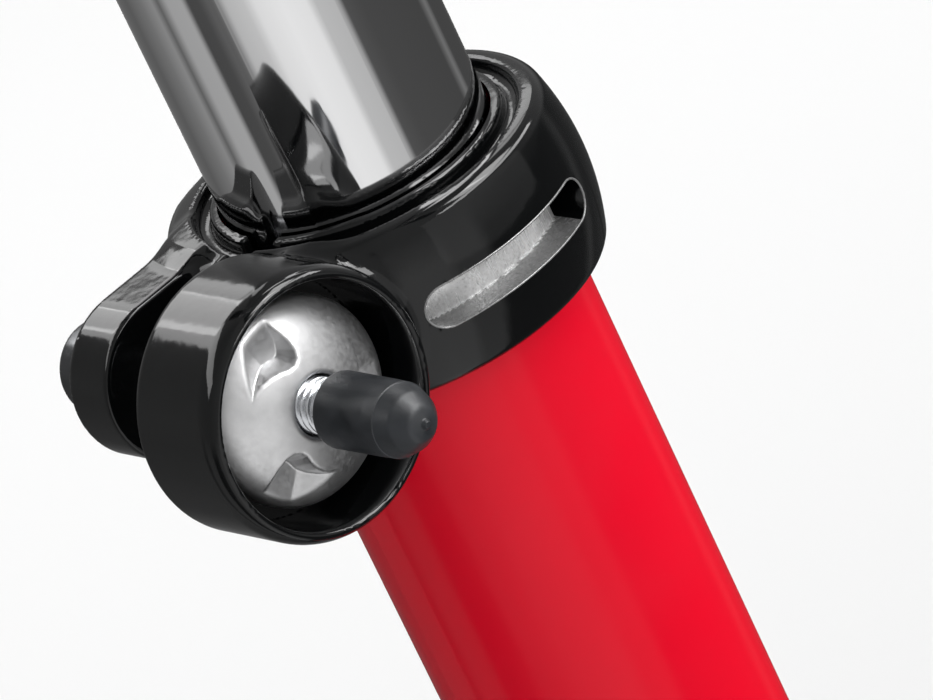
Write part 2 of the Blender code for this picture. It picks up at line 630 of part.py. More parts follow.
def build():
    red = material("red_paint", (0.72, 0.008, 0.03), 0.22)
    black = material("black_gloss_paint", (0.012, 0.013, 0.014), 0.15)
    chrome = material("chrome", (0.78, 0.78, 0.79), 0.06, 1.0)
    zinc = material("zinc_plate", (0.62, 0.62, 0.63), 0.28, 1.0)
    satin = material("satin_silver", (0.74, 0.74, 0.75), 0.38, 1.0)
    spring_steel = material("spring_steel", (0.30, 0.30, 0.31), 0.4, 1.0)
    cap_rubber = material("cap_rubber", (0.03, 0.032, 0.036), 0.45)
    rubber = material("black_rubber", (0.018, 0.018, 0.018), 0.75)
    foam = material("grip_foam", (0.02, 0.02, 0.021), 0.9)
    nylon_black = material("black_nylon", (0.02, 0.02, 0.02), 0.5)
    nylon_white = material("white_nylon", (0.8, 0.8, 0.76), 0.5)

    main_tube(red)
    clamp_collar(black)
    clamp_bolt(zinc)
    bolt_washer(zinc)
    nut_washer(zinc)
    clamp_nut(satin)
    thread_cap(cap_rubber)

    bottom_cap(nylon_black)
    guide_bush(nylon_white)
    for number in range(SCREW_COUNT):
        cap_screw(number, zinc)
    rebound_ring(rubber)
    spring_seat(nylon_black)
    seat_pin(zinc)
    main_spring(spring_steel)

    for word, side in (("left", -1), ("right", 1)):
        step_tube("step_tube_" + word, side, red)
        step_gusset("step_gusset_" + word, side, red)
        tread("tread_" + word, side, rubber)
        tread_screw("tread_screw_" + word, side, zinc)
        tube_plug("step_plug_" + word, side, STEP_RADIUS - STEP_WALL, STEP_END, STEP_HEIGHT, 10.8 * MM,
                  nylon_black)
        grip("grip_" + word, side, foam)
        tube_plug("bar_plug_" + word, side, BAR_RADIUS - BAR_WALL, BAR_HALF, BAR_HEIGHT, 13.5 * MM,
                  nylon_black)

    plunger_tube(chrome)
    plunger_head(nylon_white)
    head_pin(zinc)
    foot_tip(rubber)
    tip_washer(zinc)

    stem_tube(chrome)
    stem_plug(nylon_black)
    handle_bar(chrome)


clear_scene()
PARTS = new_collection("pogo_stick")
CUTTERS = new_collection("cutters")
build()
bpy.context.view_layer.update()
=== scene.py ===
"""Looks of the pogo stick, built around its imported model. Lengths are in metres unless a name ends in mm."""
import json
import math

import bmesh
import bpy
import numpy as np
from mathutils import Matrix, Vector

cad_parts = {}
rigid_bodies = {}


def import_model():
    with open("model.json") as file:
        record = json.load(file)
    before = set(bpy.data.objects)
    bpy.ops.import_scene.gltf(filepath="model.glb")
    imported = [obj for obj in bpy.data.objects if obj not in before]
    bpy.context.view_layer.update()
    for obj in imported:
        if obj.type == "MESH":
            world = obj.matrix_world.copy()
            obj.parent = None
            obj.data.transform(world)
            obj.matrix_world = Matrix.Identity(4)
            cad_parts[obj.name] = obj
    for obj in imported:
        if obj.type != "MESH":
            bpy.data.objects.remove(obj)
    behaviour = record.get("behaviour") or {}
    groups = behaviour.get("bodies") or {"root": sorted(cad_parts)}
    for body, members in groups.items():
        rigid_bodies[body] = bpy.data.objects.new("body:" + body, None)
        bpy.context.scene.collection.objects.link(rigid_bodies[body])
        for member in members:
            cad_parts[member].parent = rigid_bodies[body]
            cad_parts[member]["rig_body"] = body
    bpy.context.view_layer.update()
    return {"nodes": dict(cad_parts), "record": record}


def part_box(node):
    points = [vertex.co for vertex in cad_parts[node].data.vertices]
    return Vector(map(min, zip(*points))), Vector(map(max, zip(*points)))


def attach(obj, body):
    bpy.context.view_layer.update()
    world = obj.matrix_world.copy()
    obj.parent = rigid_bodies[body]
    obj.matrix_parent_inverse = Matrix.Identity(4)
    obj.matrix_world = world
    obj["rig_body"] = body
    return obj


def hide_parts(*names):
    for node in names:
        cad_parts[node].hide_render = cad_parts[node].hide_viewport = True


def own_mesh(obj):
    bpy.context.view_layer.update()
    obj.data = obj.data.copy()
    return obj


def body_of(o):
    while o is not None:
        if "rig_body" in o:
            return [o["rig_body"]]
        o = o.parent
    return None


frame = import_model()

MM = 0.001

# ---- places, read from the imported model

MAIN_LOW, MAIN_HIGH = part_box("main_tube")
STEM_LOW, STEM_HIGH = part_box("stem_tube")
BAR_LOW, BAR_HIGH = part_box("handle_bar")
STEP_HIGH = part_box("step_tube_right")[1]
PLUNGER_LOW, PLUNGER_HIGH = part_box("plunger_tube")
BOLT_LOW, BOLT_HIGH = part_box("clamp_bolt")
LOWER_CAP_LOW, LOWER_CAP_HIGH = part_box("bottom_cap")
COLLAR_TOP = MAIN_HIGH.z + 3.3 * MM                 # top of the clamp collar's lip
MAIN_RADIUS = MAIN_HIGH.x
STEM_RADIUS = STEM_HIGH.x
BAR_RADIUS = BAR_HIGH.y
STEP_RADIUS = STEP_HIGH.y
PLUNGER_RADIUS = PLUNGER_HIGH.x
BAR_HEIGHT, STEP_HEIGHT, PIN_HEIGHT, SCREW_HEIGHT = [
    sum(corner.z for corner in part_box(node)) / 2
    for node in ("handle_bar", "step_tube_right", "seat_pin", "cap_screw_1")]
BOLT = sum(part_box("nut_washer"), Vector()) / 2
BOLT.x = 0                                          # the bolt's axis, in the tubes' plane
SLOTS = {row["node"]: row["material_slot"] for row in frame["record"]["subparts"]}

GAP = 0.3 * MM                                      # play between parts that slide or push together
MAIN_WALL = 1.3 * MM
TUBE_WALL = 1.5 * MM                                # stem, handlebar and step tubes
PIN_RADIUS = 3.0 * MM
SCREW_COUNT = 3                                     # screws round the lower cap
SCREW_HOLE_RADIUS = 2.3 * MM
SPRING_WIRE = 3.2 * MM
SPRING_MEAN = 10.0 * MM                             # mean radius of the coils
SPRING_TURNS = 13
SPRING_STEPS = 28                                   # points a turn
STEP_WELD_SCALES = 34
STEM_WELD_SCALES = 38
SCALE_STEPS = 6                                     # points along one scale of a weld
FLUTE_COUNT = 24
GRIP_ROWS = 48


# ---- materials

def shader_of(made):
    return made.node_tree.nodes["Principled BSDF"]


def new_material(name, color, roughness, metallic=0.0, **sockets):
    made = bpy.data.materials.new(name)
    made.use_nodes = True
    shader = shader_of(made)
    shader.inputs["Base Color"].default_value = (*color, 1)
    shader.inputs["Roughness"].default_value = roughness
    shader.inputs["Metallic"].default_value = metallic
    for socket, value in sockets.items():
        shader.inputs[socket.replace("_", " ")].default_value = value
    return made


def add(made, kind, **values):
    """A new node with some of its properties or inputs set."""
    node = made.node_tree.nodes.new(kind)
    for name, value in values.items():
        if hasattr(node, name):
            setattr(node, name, value)
        else:
            node.inputs[name.replace("_", " ")].default_value = value
    return node


def join(made, source, output, target, socket):
    made.node_tree.links.new(source.outputs[output], target.inputs[socket])


def object_coordinates(made, scale=(1, 1, 1)):
    place = add(made, "ShaderNodeTexCoord")
    stretch = add(made, "ShaderNodeMapping")
    stretch.inputs["Scale"].default_value = scale
    join(made, place, "Object", stretch, "Vector")
    return stretch


def noise_of(made, coordinates, size, detail=2.0, roughness=0.5):
    """Noise whose features are about size metres across."""
    texture = add(made, "ShaderNodeTexNoise", Scale=1 / size, Detail=detail, Roughness=roughness)
    join(made, coordinates, "Vector", texture, "Vector")
    return texture


def vary(made, texture, socket, low, high):
    """Drive one of the shader's number sockets with a texture, between two values."""
    span = add(made, "ShaderNodeMapRange")
    for name, value in (("From Min", 0.3), ("From Max", 0.7), ("To Min", low), ("To Max", high)):
        span.inputs[name].default_value = value
    join(made, texture, "Fac", span, "Value")
    join(made, span, "Result", shader_of(made), socket)


def tint(made, texture, stops):
    """Drive the base colour with a texture through colour stops of (place, colour)."""
    ramp = add(made, "ShaderNodeValToRGB")
    ramp.color_ramp.elements.remove(ramp.color_ramp.elements[1])
    for number, (spot, color) in enumerate(stops):
        stop = ramp.color_ramp.elements[0] if number == 0 else ramp.color_ramp.elements.new(spot)
        stop.position = spot
        stop.color = (*color, 1)
    join(made, texture, "Fac", ramp, "Fac")
    join(made, ramp, "Color", shader_of(made), "Base Color")


def bump(made, texture, depth, output="Fac", before=None):
    """Raise the surface by a texture, depth metres from black to white."""
    raised = add(made, "ShaderNodeBump", Strength=1.0, Distance=depth)
    join(made, texture, output, raised, "Height")
    if before:
        join(made, before, "Normal", raised, "Normal")
    join(made, raised, "Normal", shader_of(made), "Normal")
    return raised


def surface(name, color, roughness, metallic=0.0, tones=None, rough=None, relief=(), **sockets):
    """A material with noise in it; sizes and depths are in mm.

    tones is (size, detail, dark, light) of the base colour, rough is (size, detail, low, high) of the
    roughness, and relief has a row of (size, detail, depth) for each bump, the first one lowest."""
    made = new_material(name, color, roughness, metallic, **sockets)
    place = object_coordinates(made)
    if tones:
        size, detail, dark, light = tones
        tint(made, noise_of(made, place, size * MM, detail), [(0.3, dark), (0.7, light)])
    size, detail, low, high = rough
    vary(made, noise_of(made, place, size * MM, detail), "Roughness", low, high)
    raised = None
    for size, detail, depth in relief:
        raised = bump(made, noise_of(made, place, size * MM, detail), depth * MM, before=raised)
    return made


def chrome():
    """Mirror-bright plating with faint draw marks along the tube."""
    made = new_material("mirror_chrome", (0.76, 0.76, 0.765), 0.045, 1.0)
    vary(made, noise_of(made, object_coordinates(made), 5 * MM, 4.0), "Roughness", 0.0315, 0.0765)
    along = object_coordinates(made, (1, 1, 0.04))
    bump(made, noise_of(made, along, 0.5 * MM, 3.0), 0.0004 * MM)
    return made


def zinc(name, color=(0.62, 0.635, 0.66)):
    return surface(name, color, 0.22, 1.0, rough=(1.2, 4, 0.16, 0.34), relief=[(0.2, 2, 0.002)])


def bare_metal(name, shade):
    """Casting milled to bare metal: fine cutter marks along the tube and dark and bright specks. Shade scales
    the whole colour; below one it is painted shade.
    """
    made = new_material(name, (0.72, 0.72, 0.725), 0.24, 0.4)
    place = object_coordinates(made)
    marks = object_coordinates(made, (1, 1, 0.08))
    tones = ((0.34, 0.5), (0.44, 0.8), (0.62, 0.9), (0.7, 1.0))
    stops = [(spot, (value * shade,) * 3) for spot, value in tones]
    tint(made, noise_of(made, place, 0.28 * MM, 4.0, 0.7), stops)
    vary(made, noise_of(made, marks, 0.5 * MM, 3.0), "Roughness", 0.17, 0.34)
    bump(made, noise_of(made, marks, 0.3 * MM, 3.0), 0.0025 * MM)
    return made


def grip_foam():
    """Closed-cell foam: fine cells and a dull sheen."""
    made = new_material("grip_foam", (0.016, 0.016, 0.017), 0.85, Sheen_Weight=0.25, Sheen_Roughness=0.5)
    place = object_coordinates(made)
    cells = add(made, "ShaderNodeTexVoronoi", Scale=1 / (0.7 * MM))
    join(made, place, "Vector", cells, "Vector")
    stops = [(0.3, (0.013, 0.013, 0.014)), (0.7, (0.022, 0.022, 0.023))]
    tint(made, noise_of(made, place, 8 * MM, 4.0), stops)
    coarse = bump(made, noise_of(made, place, 3 * MM, 3.0), 0.15 * MM)
    bump(made, cells, 0.12 * MM, output="Distance", before=coarse)
    return made


def nylon(name, color):
    darker = tuple(part * 0.85 for part in color)
    return surface(name, color, 0.45, tones=(10, 3, darker, color), rough=(2, 2, 0.38, 0.55),
                   relief=[(0.3, 2, 0.008)])


LOOKS = {
    "black_gloss_paint": surface(
        "gloss_black_paint", (0.0034, 0.0038, 0.0041), 0.08, rough=(6, 2, 0.06, 0.11),
        relief=[(1.6, 1, 0.012), (0.35, 2, 0.0015)], IOR=1.43),
    "red_paint": surface(
        "red_enamel", (0.80, 0.0035, 0.018), 0.16, tones=(40, 3, (0.90, 0.0016, 0.021), (0.94, 0.002, 0.024)),
        rough=(9, 2, 0.12, 0.2), relief=[(2.2, 1, 0.006)], IOR=1.43, Specular_IOR_Level=0.3),
    "satin_silver": surface(
        "satin_silver", (0.68, 0.68, 0.685), 0.42, 1.0,
        tones=(1.5, 4, (0.63, 0.63, 0.635), (0.73, 0.73, 0.735)),
        rough=(0.4, 3, 0.36, 0.48), relief=[(0.12, 3, 0.006)]),
    "cap_rubber": surface(
        "cap_rubber", (0.024, 0.027, 0.032), 0.42, tones=(3, 4, (0.02, 0.023, 0.027), (0.03, 0.034, 0.041)),
        rough=(1.5, 3, 0.34, 0.52), relief=[(0.25, 3, 0.006)]),
    "black_rubber": surface(
        "moulded_rubber", (0.014, 0.014, 0.0145), 0.62,
        tones=(12, 5, (0.011, 0.011, 0.0115), (0.02, 0.02, 0.0205)),
        rough=(4, 3, 0.52, 0.72), relief=[(0.5, 3, 0.02)]),
    "grip_foam": grip_foam(),
    "black_nylon": nylon("black_nylon", (0.018, 0.018, 0.019)),
    "white_nylon": nylon("white_nylon", (0.72, 0.71, 0.66)),
    "chrome": chrome(),
    "zinc_plate": zinc("bright_zinc"),
    "spring_steel": zinc("spring_steel"),
    # Zinc darkened for the bolt's head, which is zinc-plated like its thread: painted shade.
    "zinc_painted_shade": zinc("zinc_painted_shade", (0.10, 0.102, 0.106)),
    "milled_floor": bare_metal("milled_metal", 1.0),
    # The pocket's side wall: the same milled metal as its floor, made darker by painted shade.
    "milled_side": bare_metal("milled_side", 0.36),
}


# ---- making pieces

def finish_mesh(mesh, sharp=35):
    mesh.validate()
    mesh.shade_smooth()
    mesh.set_sharp_from_angle(angle=math.radians(sharp))
    return mesh


def placed(name, data):
    """A new object in the scene."""
    obj = bpy.data.objects.new(name, data)
    bpy.context.scene.collection.objects.link(obj)
    return obj


def piece(name, mesh, body, slot, *nodes, look=None):
    """A new piece of the object: it rides on a body, takes a slot's finish and stands for CAD nodes."""
    obj = placed(name, mesh)
    mesh.materials.append(LOOKS[look or slot])
    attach(obj, body)
    if nodes:
        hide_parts(*nodes)
    return obj


def mesh_from(name, points, faces):
    mesh = bpy.data.meshes.new(name)
    mesh.from_pydata([tuple(p) for p in points], [], [tuple(f) for f in faces])
    mesh.update()
    return mesh


def rounded(corners, steps=5):
    """A profile whose corners (r, z, fillet) are turned into arcs."""
    made = []
    for number, corner in enumerate(corners):
        here = Vector(corner[:2])
        fillet = corner[2] if len(corner) > 2 else 0
        if fillet <= 0 or number in (0, len(corners) - 1):
            made.append(tuple(here))
            continue
        to_last = Vector(corners[number - 1][:2]) - here
        to_next = Vector(corners[number + 1][:2]) - here
        back = to_last.normalized()
        on = to_next.normalized()
        half = back.angle(on) / 2
        reach = min(fillet / math.tan(half), 0.49 * to_last.length, 0.49 * to_next.length)
        radius = reach * math.tan(half)
        centre = here + (back + on).normalized() * radius / math.sin(half)
        start = here + back * reach - centre
        sweep = start.angle_signed(here + on * reach - centre)
        for step in range(steps + 1):
            arm = start.copy()
            arm.rotate(Matrix.Rotation(-sweep * step / steps, 2))
            made.append(tuple(centre + arm))
    return made


def in_metres(profile):
    return [(r * MM, z * MM) for r, z in profile]


def lathe(name, profile, steps=96, reshape=None):
    """A closed mesh turned about Z from (radius, height) points that run down the outer side."""
    points = []
    faces = []
    rows = []
    for radius, height in profile:
        if radius < 1e-7:
            rows.append([len(points)] * steps)
            points.append((0, 0, height))
            continue
        rows.append(list(range(len(points), len(points) + steps)))
        for number in range(steps):
            angle = math.tau * number / steps
            points.append((radius * math.cos(angle), radius * math.sin(angle), height))
    if profile[0][0] > 1e-7:
        rows.append(rows[0])
    for upper, lower in zip(rows, rows[1:]):
        for number in range(steps):
            after = (number + 1) % steps
            corners = [upper[number], lower[number], lower[after], upper[after]]
            corners = [c for i, c in enumerate(corners) if c != corners[i - 1]]
            if len(corners) > 2:
                faces.append(corners)
    if reshape:
        points = [reshape(Vector(p)) for p in points]
    return mesh_from(name, points, faces)


def along_x(mesh, side, centre):
    """Lay a mesh made along Z along X instead, towards +X or -X, and move it."""
    mesh.transform(Matrix.Rotation(side * math.pi / 2, 4, "Y"))
    mesh.transform(Matrix.Translation(centre))
    return mesh


# ---- shapes from distance fields

def smooth_union(a, b, width):
    share = np.clip(0.5 + 0.5 * (b - a) / width, 0, 1)
    return b + (a - b) * share - width * share * (1 - share)


def smooth_cut(a, b, width):
    """Take the shape b out of the shape a, with a rounded edge."""
    return -smooth_union(-a, b, width)


def polygon(u, v, corners):
    """Signed distance to a closed outline in the (u, v) plane."""
    best = np.full(u.shape, np.inf)
    odd = np.zeros(u.shape, bool)
    for (u0, v0), (u1, v1) in zip(corners, corners[1:] + corners[:1]):
        du, dv = u1 - u0, v1 - v0
        share = np.clip(((u - u0) * du + (v - v0) * dv) / (du * du + dv * dv), 0, 1)
        best = np.minimum(best, np.hypot(u - u0 - share * du, v - v0 - share * dv))
        if dv:
            odd ^= ((v0 > v) != (v1 > v)) & (u < du * (v - v0) / dv + u0)
    return np.where(odd, -best, best)


def meet(a, b, radius):
    """Where two shapes overlap, with a rounded edge."""
    out_a = a + radius
    out_b = b + radius
    outside = np.hypot(np.maximum(out_a, 0), np.maximum(out_b, 0))
    return outside + np.minimum(np.maximum(out_a, out_b), 0) - radius


def rounded_box(u, v, half_u, half_v, radius):
    """Distance to a rectangle with rounded corners."""
    return meet(np.abs(u) - half_u, np.abs(v) - half_v, radius)


def stadium(u, v, start, end, radius):
    """Distance to a bar with round ends that lies along u."""
    return np.hypot(u - np.clip(u, start, end), v) - radius


def gradient(field, spots, step):
    """Field values and gradients at some points."""
    values = field(spots)
    slopes = np.empty_like(spots)
    for axis in range(3):
        shift = np.zeros(3)
        shift[axis] = step
        slopes[:, axis] = (field(spots + shift) - field(spots - shift)) / (2 * step)
    return values, slopes


def grid_values(field, low, cell, counts):
    """The field on a grid. Blocks of the grid that the surface can't reach get their middle's value."""
    block = 8
    whole = [int(math.ceil(n / block)) for n in counts]
    middles = [low[a] + cell * (np.arange(whole[a]) * block + (block - 1) / 2) for a in range(3)]
    coarse_points = np.stack(np.meshgrid(*middles, indexing="ij"), -1).reshape(-1, 3)
    coarse = field(coarse_points)
    values = np.repeat(np.repeat(np.repeat(coarse.reshape(whole), block, 0), block, 1), block, 2)
    near = np.flatnonzero(np.abs(coarse) < block * cell * 1.2)
    steps = np.stack(np.meshgrid(*[np.arange(block)] * 3, indexing="ij"), -1).reshape(-1, 3)
    for chunk in np.array_split(near, max(1, len(near) // 400)):
        corner = np.stack(np.unravel_index(chunk, whole), -1) * block
        index = (corner[:, None, :] + steps[None, :, :]).reshape(-1, 3)
        values[index[:, 0], index[:, 1], index[:, 2]] = field(np.array(low) + cell * index)
    return values[:counts[0], :counts[1], :counts[2]]


def skin(name, field, low, high, cell, creases=()):
    """A closed mesh of quads on a field's zero surface.

    There is one vertex in each grid cell that the surface passes, moved onto the surface. Each of the
    creases gives two fields whose zero surfaces meet in a sharp edge, and vertices next to that edge are
    moved onto it."""
    low = np.array(low, float) - 2 * cell
    counts = [int(math.ceil((h + 2 * cell - l) / cell)) + 1 for l, h in zip(low, high)]
    values = grid_values(field, low, cell, counts)
    inside = values < 0
    corners = [np.s_[:-1], np.s_[1:]]
    total = sum(inside[a, b, c].astype(np.int8) for a in corners for b in corners for c in corners)
    crossed = (total > 0) & (total < 8)
    number = np.full(crossed.shape, -1, np.int64)
    number[crossed] = np.arange(crossed.sum())
    cells = np.argwhere(crossed)
    spots = low + cell * (cells + 0.5)
    start = spots.copy()
    for _ in range(6):
        value, slope = gradient(field, spots, cell * 0.05)
        push = value / np.maximum((slope ** 2).sum(1), 0.2)
        spots -= np.clip(push[:, None] * slope, -0.5 * cell, 0.5 * cell)
        spots = np.clip(spots, start - 0.75 * cell, start + 0.75 * cell)
    for crease in creases:
        spots = snap_to_crease(spots, crease, cell)
    faces = []
    for axis in range(3):
        first = [np.s_[1:-1]] * 3
        second = [np.s_[1:-1]] * 3
        first[axis] = np.s_[:-1]
        second[axis] = np.s_[1:]
        near_side = inside[tuple(first)]
        far_side = inside[tuple(second)]
        u, v = [a for a in range(3) if a != axis]
        for flipped, hit in ((False, near_side & ~far_side), (True, ~near_side & far_side)):
            at = np.argwhere(hit)
            for other in (u, v):
                at[:, other] += 1
            ring = []
            for du, dv in ((0, 0), (-1, 0), (-1, -1), (0, -1)):
                spot = at.copy()
                spot[:, u] += du
                spot[:, v] += dv
                ring.append(number[spot[:, 0], spot[:, 1], spot[:, 2]])
            quad = np.stack(ring, 1)
            if flipped != (axis == 1):
                quad = quad[:, ::-1]
            faces.append(quad)
    faces = np.concatenate(faces)
    mesh = bpy.data.meshes.new(name)
    mesh.vertices.add(len(spots))
    mesh.vertices.foreach_set("co", (spots * MM).astype(np.float32).ravel())
    mesh.loops.add(len(faces) * 4)
    mesh.loops.foreach_set("vertex_index", faces.astype(np.int32).ravel())
    mesh.polygons.add(len(faces))
    mesh.polygons.foreach_set("loop_start", np.arange(0, len(faces) * 4, 4, dtype=np.int32))
    mesh.update(calc_edges=True)
    return mesh


def snap_to_crease(spots, crease, cell):
    """Move the points near the edge where two zero surfaces meet onto that edge."""
    first, second = crease
    near = (np.abs(first(spots)) < cell) & (np.abs(second(spots)) < cell)
    moved = spots[near].copy()
    for _ in range(4):
        a, slope_a = gradient(first, moved, cell * 0.05)
        b, slope_b = gradient(second, moved, cell * 0.05)
        aa = (slope_a ** 2).sum(1)
        bb = (slope_b ** 2).sum(1)
        ab = (slope_a * slope_b).sum(1)
        det = np.maximum(aa * bb - ab ** 2, 0.05)
        moved -= slope_a * ((a * bb - b * ab) / det)[:, None] + slope_b * ((b * aa - a * ab) / det)[:, None]
    good = np.abs(moved - spots[near]).max(1) < 0.8 * cell
    index = np.flatnonzero(near)[good]
    spots[index] = moved[good]
    return spots


def fineness(cell):
    """Cell size of a fine skin."""
    return cell


# ---- clamp collar

BOLT_Y_MM = BOLT.y / MM
BOLT_Z_MM = (BOLT.z - COLLAR_TOP) / MM              # heights of the collar are measured from its lip
CUP_RIM_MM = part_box("clamp_collar")[1].x / MM
CUP_START_MM = 7.5
CUP_RADIUS_MM = 12.0
WALL_MIDDLE_MM = 14.8                               # radius of the middle of the ring's wall
WALL_HALF_MM = 2.96
RING_DROP_MM = 8.275                                # middle of the ring below its lip
RING_HALF_MM = 7.725
GROOVE_RADIUS_MM = 14.45
STEM_BORE_MM = 13.0                                 # bore of the lip
TUBE_BORE_MM = 14.6                                 # bore below the stop that the tube's end meets
TUBE_STOP_MM = -3.0
BOLT_HOLE_MM = 2.8
EAR_RADIUS_MM = 7.5
EAR_DROP_MM = 7.68
SLIT_MIDDLE_MM = 1.3
SLIT_HALF_MM = 1.9


def ring_field(x, y, z):
    """The collar's round body with its domed shoulder and crowned wall."""
    r = np.hypot(x, y)
    azimuth = np.degrees(np.arctan2(y, x)) % 360
    bulge = 0.7 * np.clip((azimuth - 200) / 12, 0, 1) * np.clip((256 - azimuth) / 12, 0, 1)
    crown = np.clip(0.85 - 0.0205 * (z + 8.2) ** 2, -0.5, 1)
    beyond_groove = np.clip(r - 15.2, 0, 2.6)
    dome = np.where(z > -8, 0.40 - 0.055 * beyond_groove - 0.03 * beyond_groove ** 2, 0)
    return rounded_box(r - WALL_MIDDLE_MM - bulge - crown, z + RING_DROP_MM - dome,
                       WALL_HALF_MM, RING_HALF_MM, 0.8)


def with_lip(shape, x, y, z):
    """The groove round the tube cut from a shape, and the raised lip inside it."""
    r = np.hypot(x, y)
    shape = smooth_cut(shape, np.hypot(r - GROOVE_RADIUS_MM, np.minimum(z + 0.62, 0)) - 0.88, 0.55)
    shape = np.maximum(shape, -np.maximum(r - 14.2, 0.1 - z))
    lip = rounded_box(r - 13.2, z + 1.6, 0.62, 1.6, 0.25)
    return smooth_union(shape, lip, 0.25)


def cup_field(x, bolt_r):
    """The nut's cup: a drum along X whose outer rim is rounded more along X than across."""
    middle = (CUP_START_MM + CUP_RIM_MM) / 2
    drum = rounded_box(bolt_r, x - middle, CUP_RADIUS_MM, CUP_RIM_MM - middle, 0.7)
    across = np.maximum(bolt_r - 10.95, 0) / 1.05
    along = np.maximum(x - CUP_RIM_MM + 2.1, 0) / 2.1
    return np.maximum(drum, (np.hypot(across, along) - 1) * 1.2)


def collar_outside(p):
    """The casting before it is bored: ring, two ears and the nut's cup, blended with fillets."""
    x, y, z = p[:, 0], p[:, 1], p[:, 2]
    plate = stadium(y, z + EAR_DROP_MM, -23.7, -12.0, EAR_RADIUS_MM)
    far_ear = meet(plate, np.abs(x + 6.6) - 2.8, 0.35)
    near_ear = meet(plate, np.abs(x - 5.0) - 4.0, 0.8)
    bolt_r = np.hypot(y - BOLT_Y_MM, z - BOLT_Z_MM)
    near_side = smooth_union(near_ear, cup_field(x, bolt_r), 1.2)
    shape = smooth_union(smooth_union(ring_field(x, y, z), far_ear, 3.0), near_side, 3.2)
    shape = with_lip(shape, x, y, z)
    slit = np.maximum(np.abs(x - SLIT_MIDDLE_MM) - SLIT_HALF_MM, y + 11.0)
    shape = smooth_cut(shape, slit, 0.3)
    recess = np.maximum(bolt_r - 10.7, 10.6 - x)
    return smooth_cut(shape, recess, 0.55)


POCKET_DROP_MM = 8.5                                # its middle below the lip
POCKET_START_MM = -8.1                              # centres of its round ends along Y
POCKET_END_MM = 7.6
POCKET_HALF_MM = 2.0
POCKET_FLOOR_MM = 15.1


def pocket_outline(p):
    return stadium(p[:, 1], p[:, 2] + POCKET_DROP_MM, POCKET_START_MM, POCKET_END_MM, POCKET_HALF_MM)


def pocket_floor(p):
    """Zero on the cylinder that the pocket's floor is part of; far away behind the tube."""
    return np.maximum(POCKET_FLOOR_MM - np.hypot(p[:, 0], p[:, 1]), -p[:, 0])


def window_pocket(p):
    """The long pocket cut in the collar's side, with a floor round the tube."""
    return np.maximum(pocket_outline(p), pocket_floor(p))


def collar_cuts(p):
    """Outside of everything that is bored or milled: tube bore, lip bore, bolt hole and side pocket."""
    x, y, z = p[:, 0], p[:, 1], p[:, 2]
    r = np.hypot(x, y)
    bore = np.minimum(r - STEM_BORE_MM, np.maximum(r - TUBE_BORE_MM, z - TUBE_STOP_MM))
    bolt_r = np.hypot(y - BOLT_Y_MM, z - BOLT_Z_MM)
    return -np.minimum(np.minimum(bore, bolt_r - BOLT_HOLE_MM), window_pocket(p))


def collar_field(p):
    return np.maximum(collar_outside(p), collar_cuts(p))


def bead_on_casting(name, inner, outer, radius, closed, look):
    """A thin bead through the points where lines between two rows of points leave the casting."""
    near = np.zeros((len(inner), 1))
    far = np.ones((len(inner), 1))
    for _ in range(24):
        middle = (near + far) / 2
        inside = (collar_outside(inner + (outer - inner) * middle) < 0)[:, None]
        near = np.where(inside, middle, near)
        far = np.where(inside, far, middle)
    path = [Vector(spot) * MM + Vector((0, 0, COLLAR_TOP)) for spot in inner + (outer - inner) * near]
    mesh = finish_mesh(swept("bead", path, lambda share: radius, closed, 10), 80)
    piece(name, mesh, "frame", "satin_silver" if look else "black_gloss_paint", look=look)


def pocket_edge():
    """Thin rim of bare metal round the pocket's mouth, in the darker copy of the milled metal: painted shade.
    """
    outline = []
    length = POCKET_END_MM - POCKET_START_MM
    for centre, start, side in ((POCKET_END_MM, -90, 1), (POCKET_START_MM, 90, -1)):
        for step in range(31):
            angle = math.radians(start + 6 * step)
            outline.append((centre + POCKET_HALF_MM * math.cos(angle),
                            POCKET_HALF_MM * math.sin(angle) - POCKET_DROP_MM))
        for step in range(1, 60):
            outline.append((centre - side * length * step / 60, side * POCKET_HALF_MM - POCKET_DROP_MM))
    rows = [np.column_stack((np.full(len(outline), x), outline)) for x in (12.0, 22.0)]
    bead_on_casting("pocket_bare_edge", *rows, 0.1 * MM, True, "milled_side")


def mould_line():
    """Faint seam that the mould left on the collar's wall."""
    turn = math.radians(38)
    heights = np.linspace(-1.4, -15.0, 60)
    rows = [np.column_stack((np.full(60, r * math.cos(turn)), np.full(60, r * math.sin(turn)), heights))
            for r in (15.5, 22.0)]
    bead_on_casting("collar_mould_line", *rows, 0.07 * MM, False, None)


def clamp_collar():
    low, high = [(corner - Vector((0, 0, COLLAR_TOP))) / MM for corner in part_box("clamp_collar")]
    creases = [(pocket_outline, pocket_floor), (collar_outside, collar_cuts)]
    mesh = skin("casting", collar_field, low, high, fineness(0.25), creases)
    mesh.transform(Matrix.Translation((0, 0, COLLAR_TOP)))
    piece("clamp_collar_casting", finish_mesh(mesh, 40), "frame", "black_gloss_paint", "clamp_collar")
    mesh.materials.append(LOOKS["milled_floor"])
    mesh.materials.append(LOOKS["milled_side"])
    centres = np.empty(len(mesh.polygons) * 3, np.float32)
    mesh.polygons.foreach_get("center", centres)
    centres = centres.reshape(-1, 3) / MM - np.array([0, 0, COLLAR_TOP / MM])
    milled = (window_pocket(centres) < 0.04) & (centres[:, 1] < 7.7)
    # Side-wall faces take the darker copy of the milled metal: painted shade.
    sides = milled & (np.abs(pocket_floor(centres)) > 0.2)
    mesh.polygons.foreach_set("material_index", milled.astype(np.int32) + sides.astype(np.int32))


# ---- dome nut, bolt and thread cap

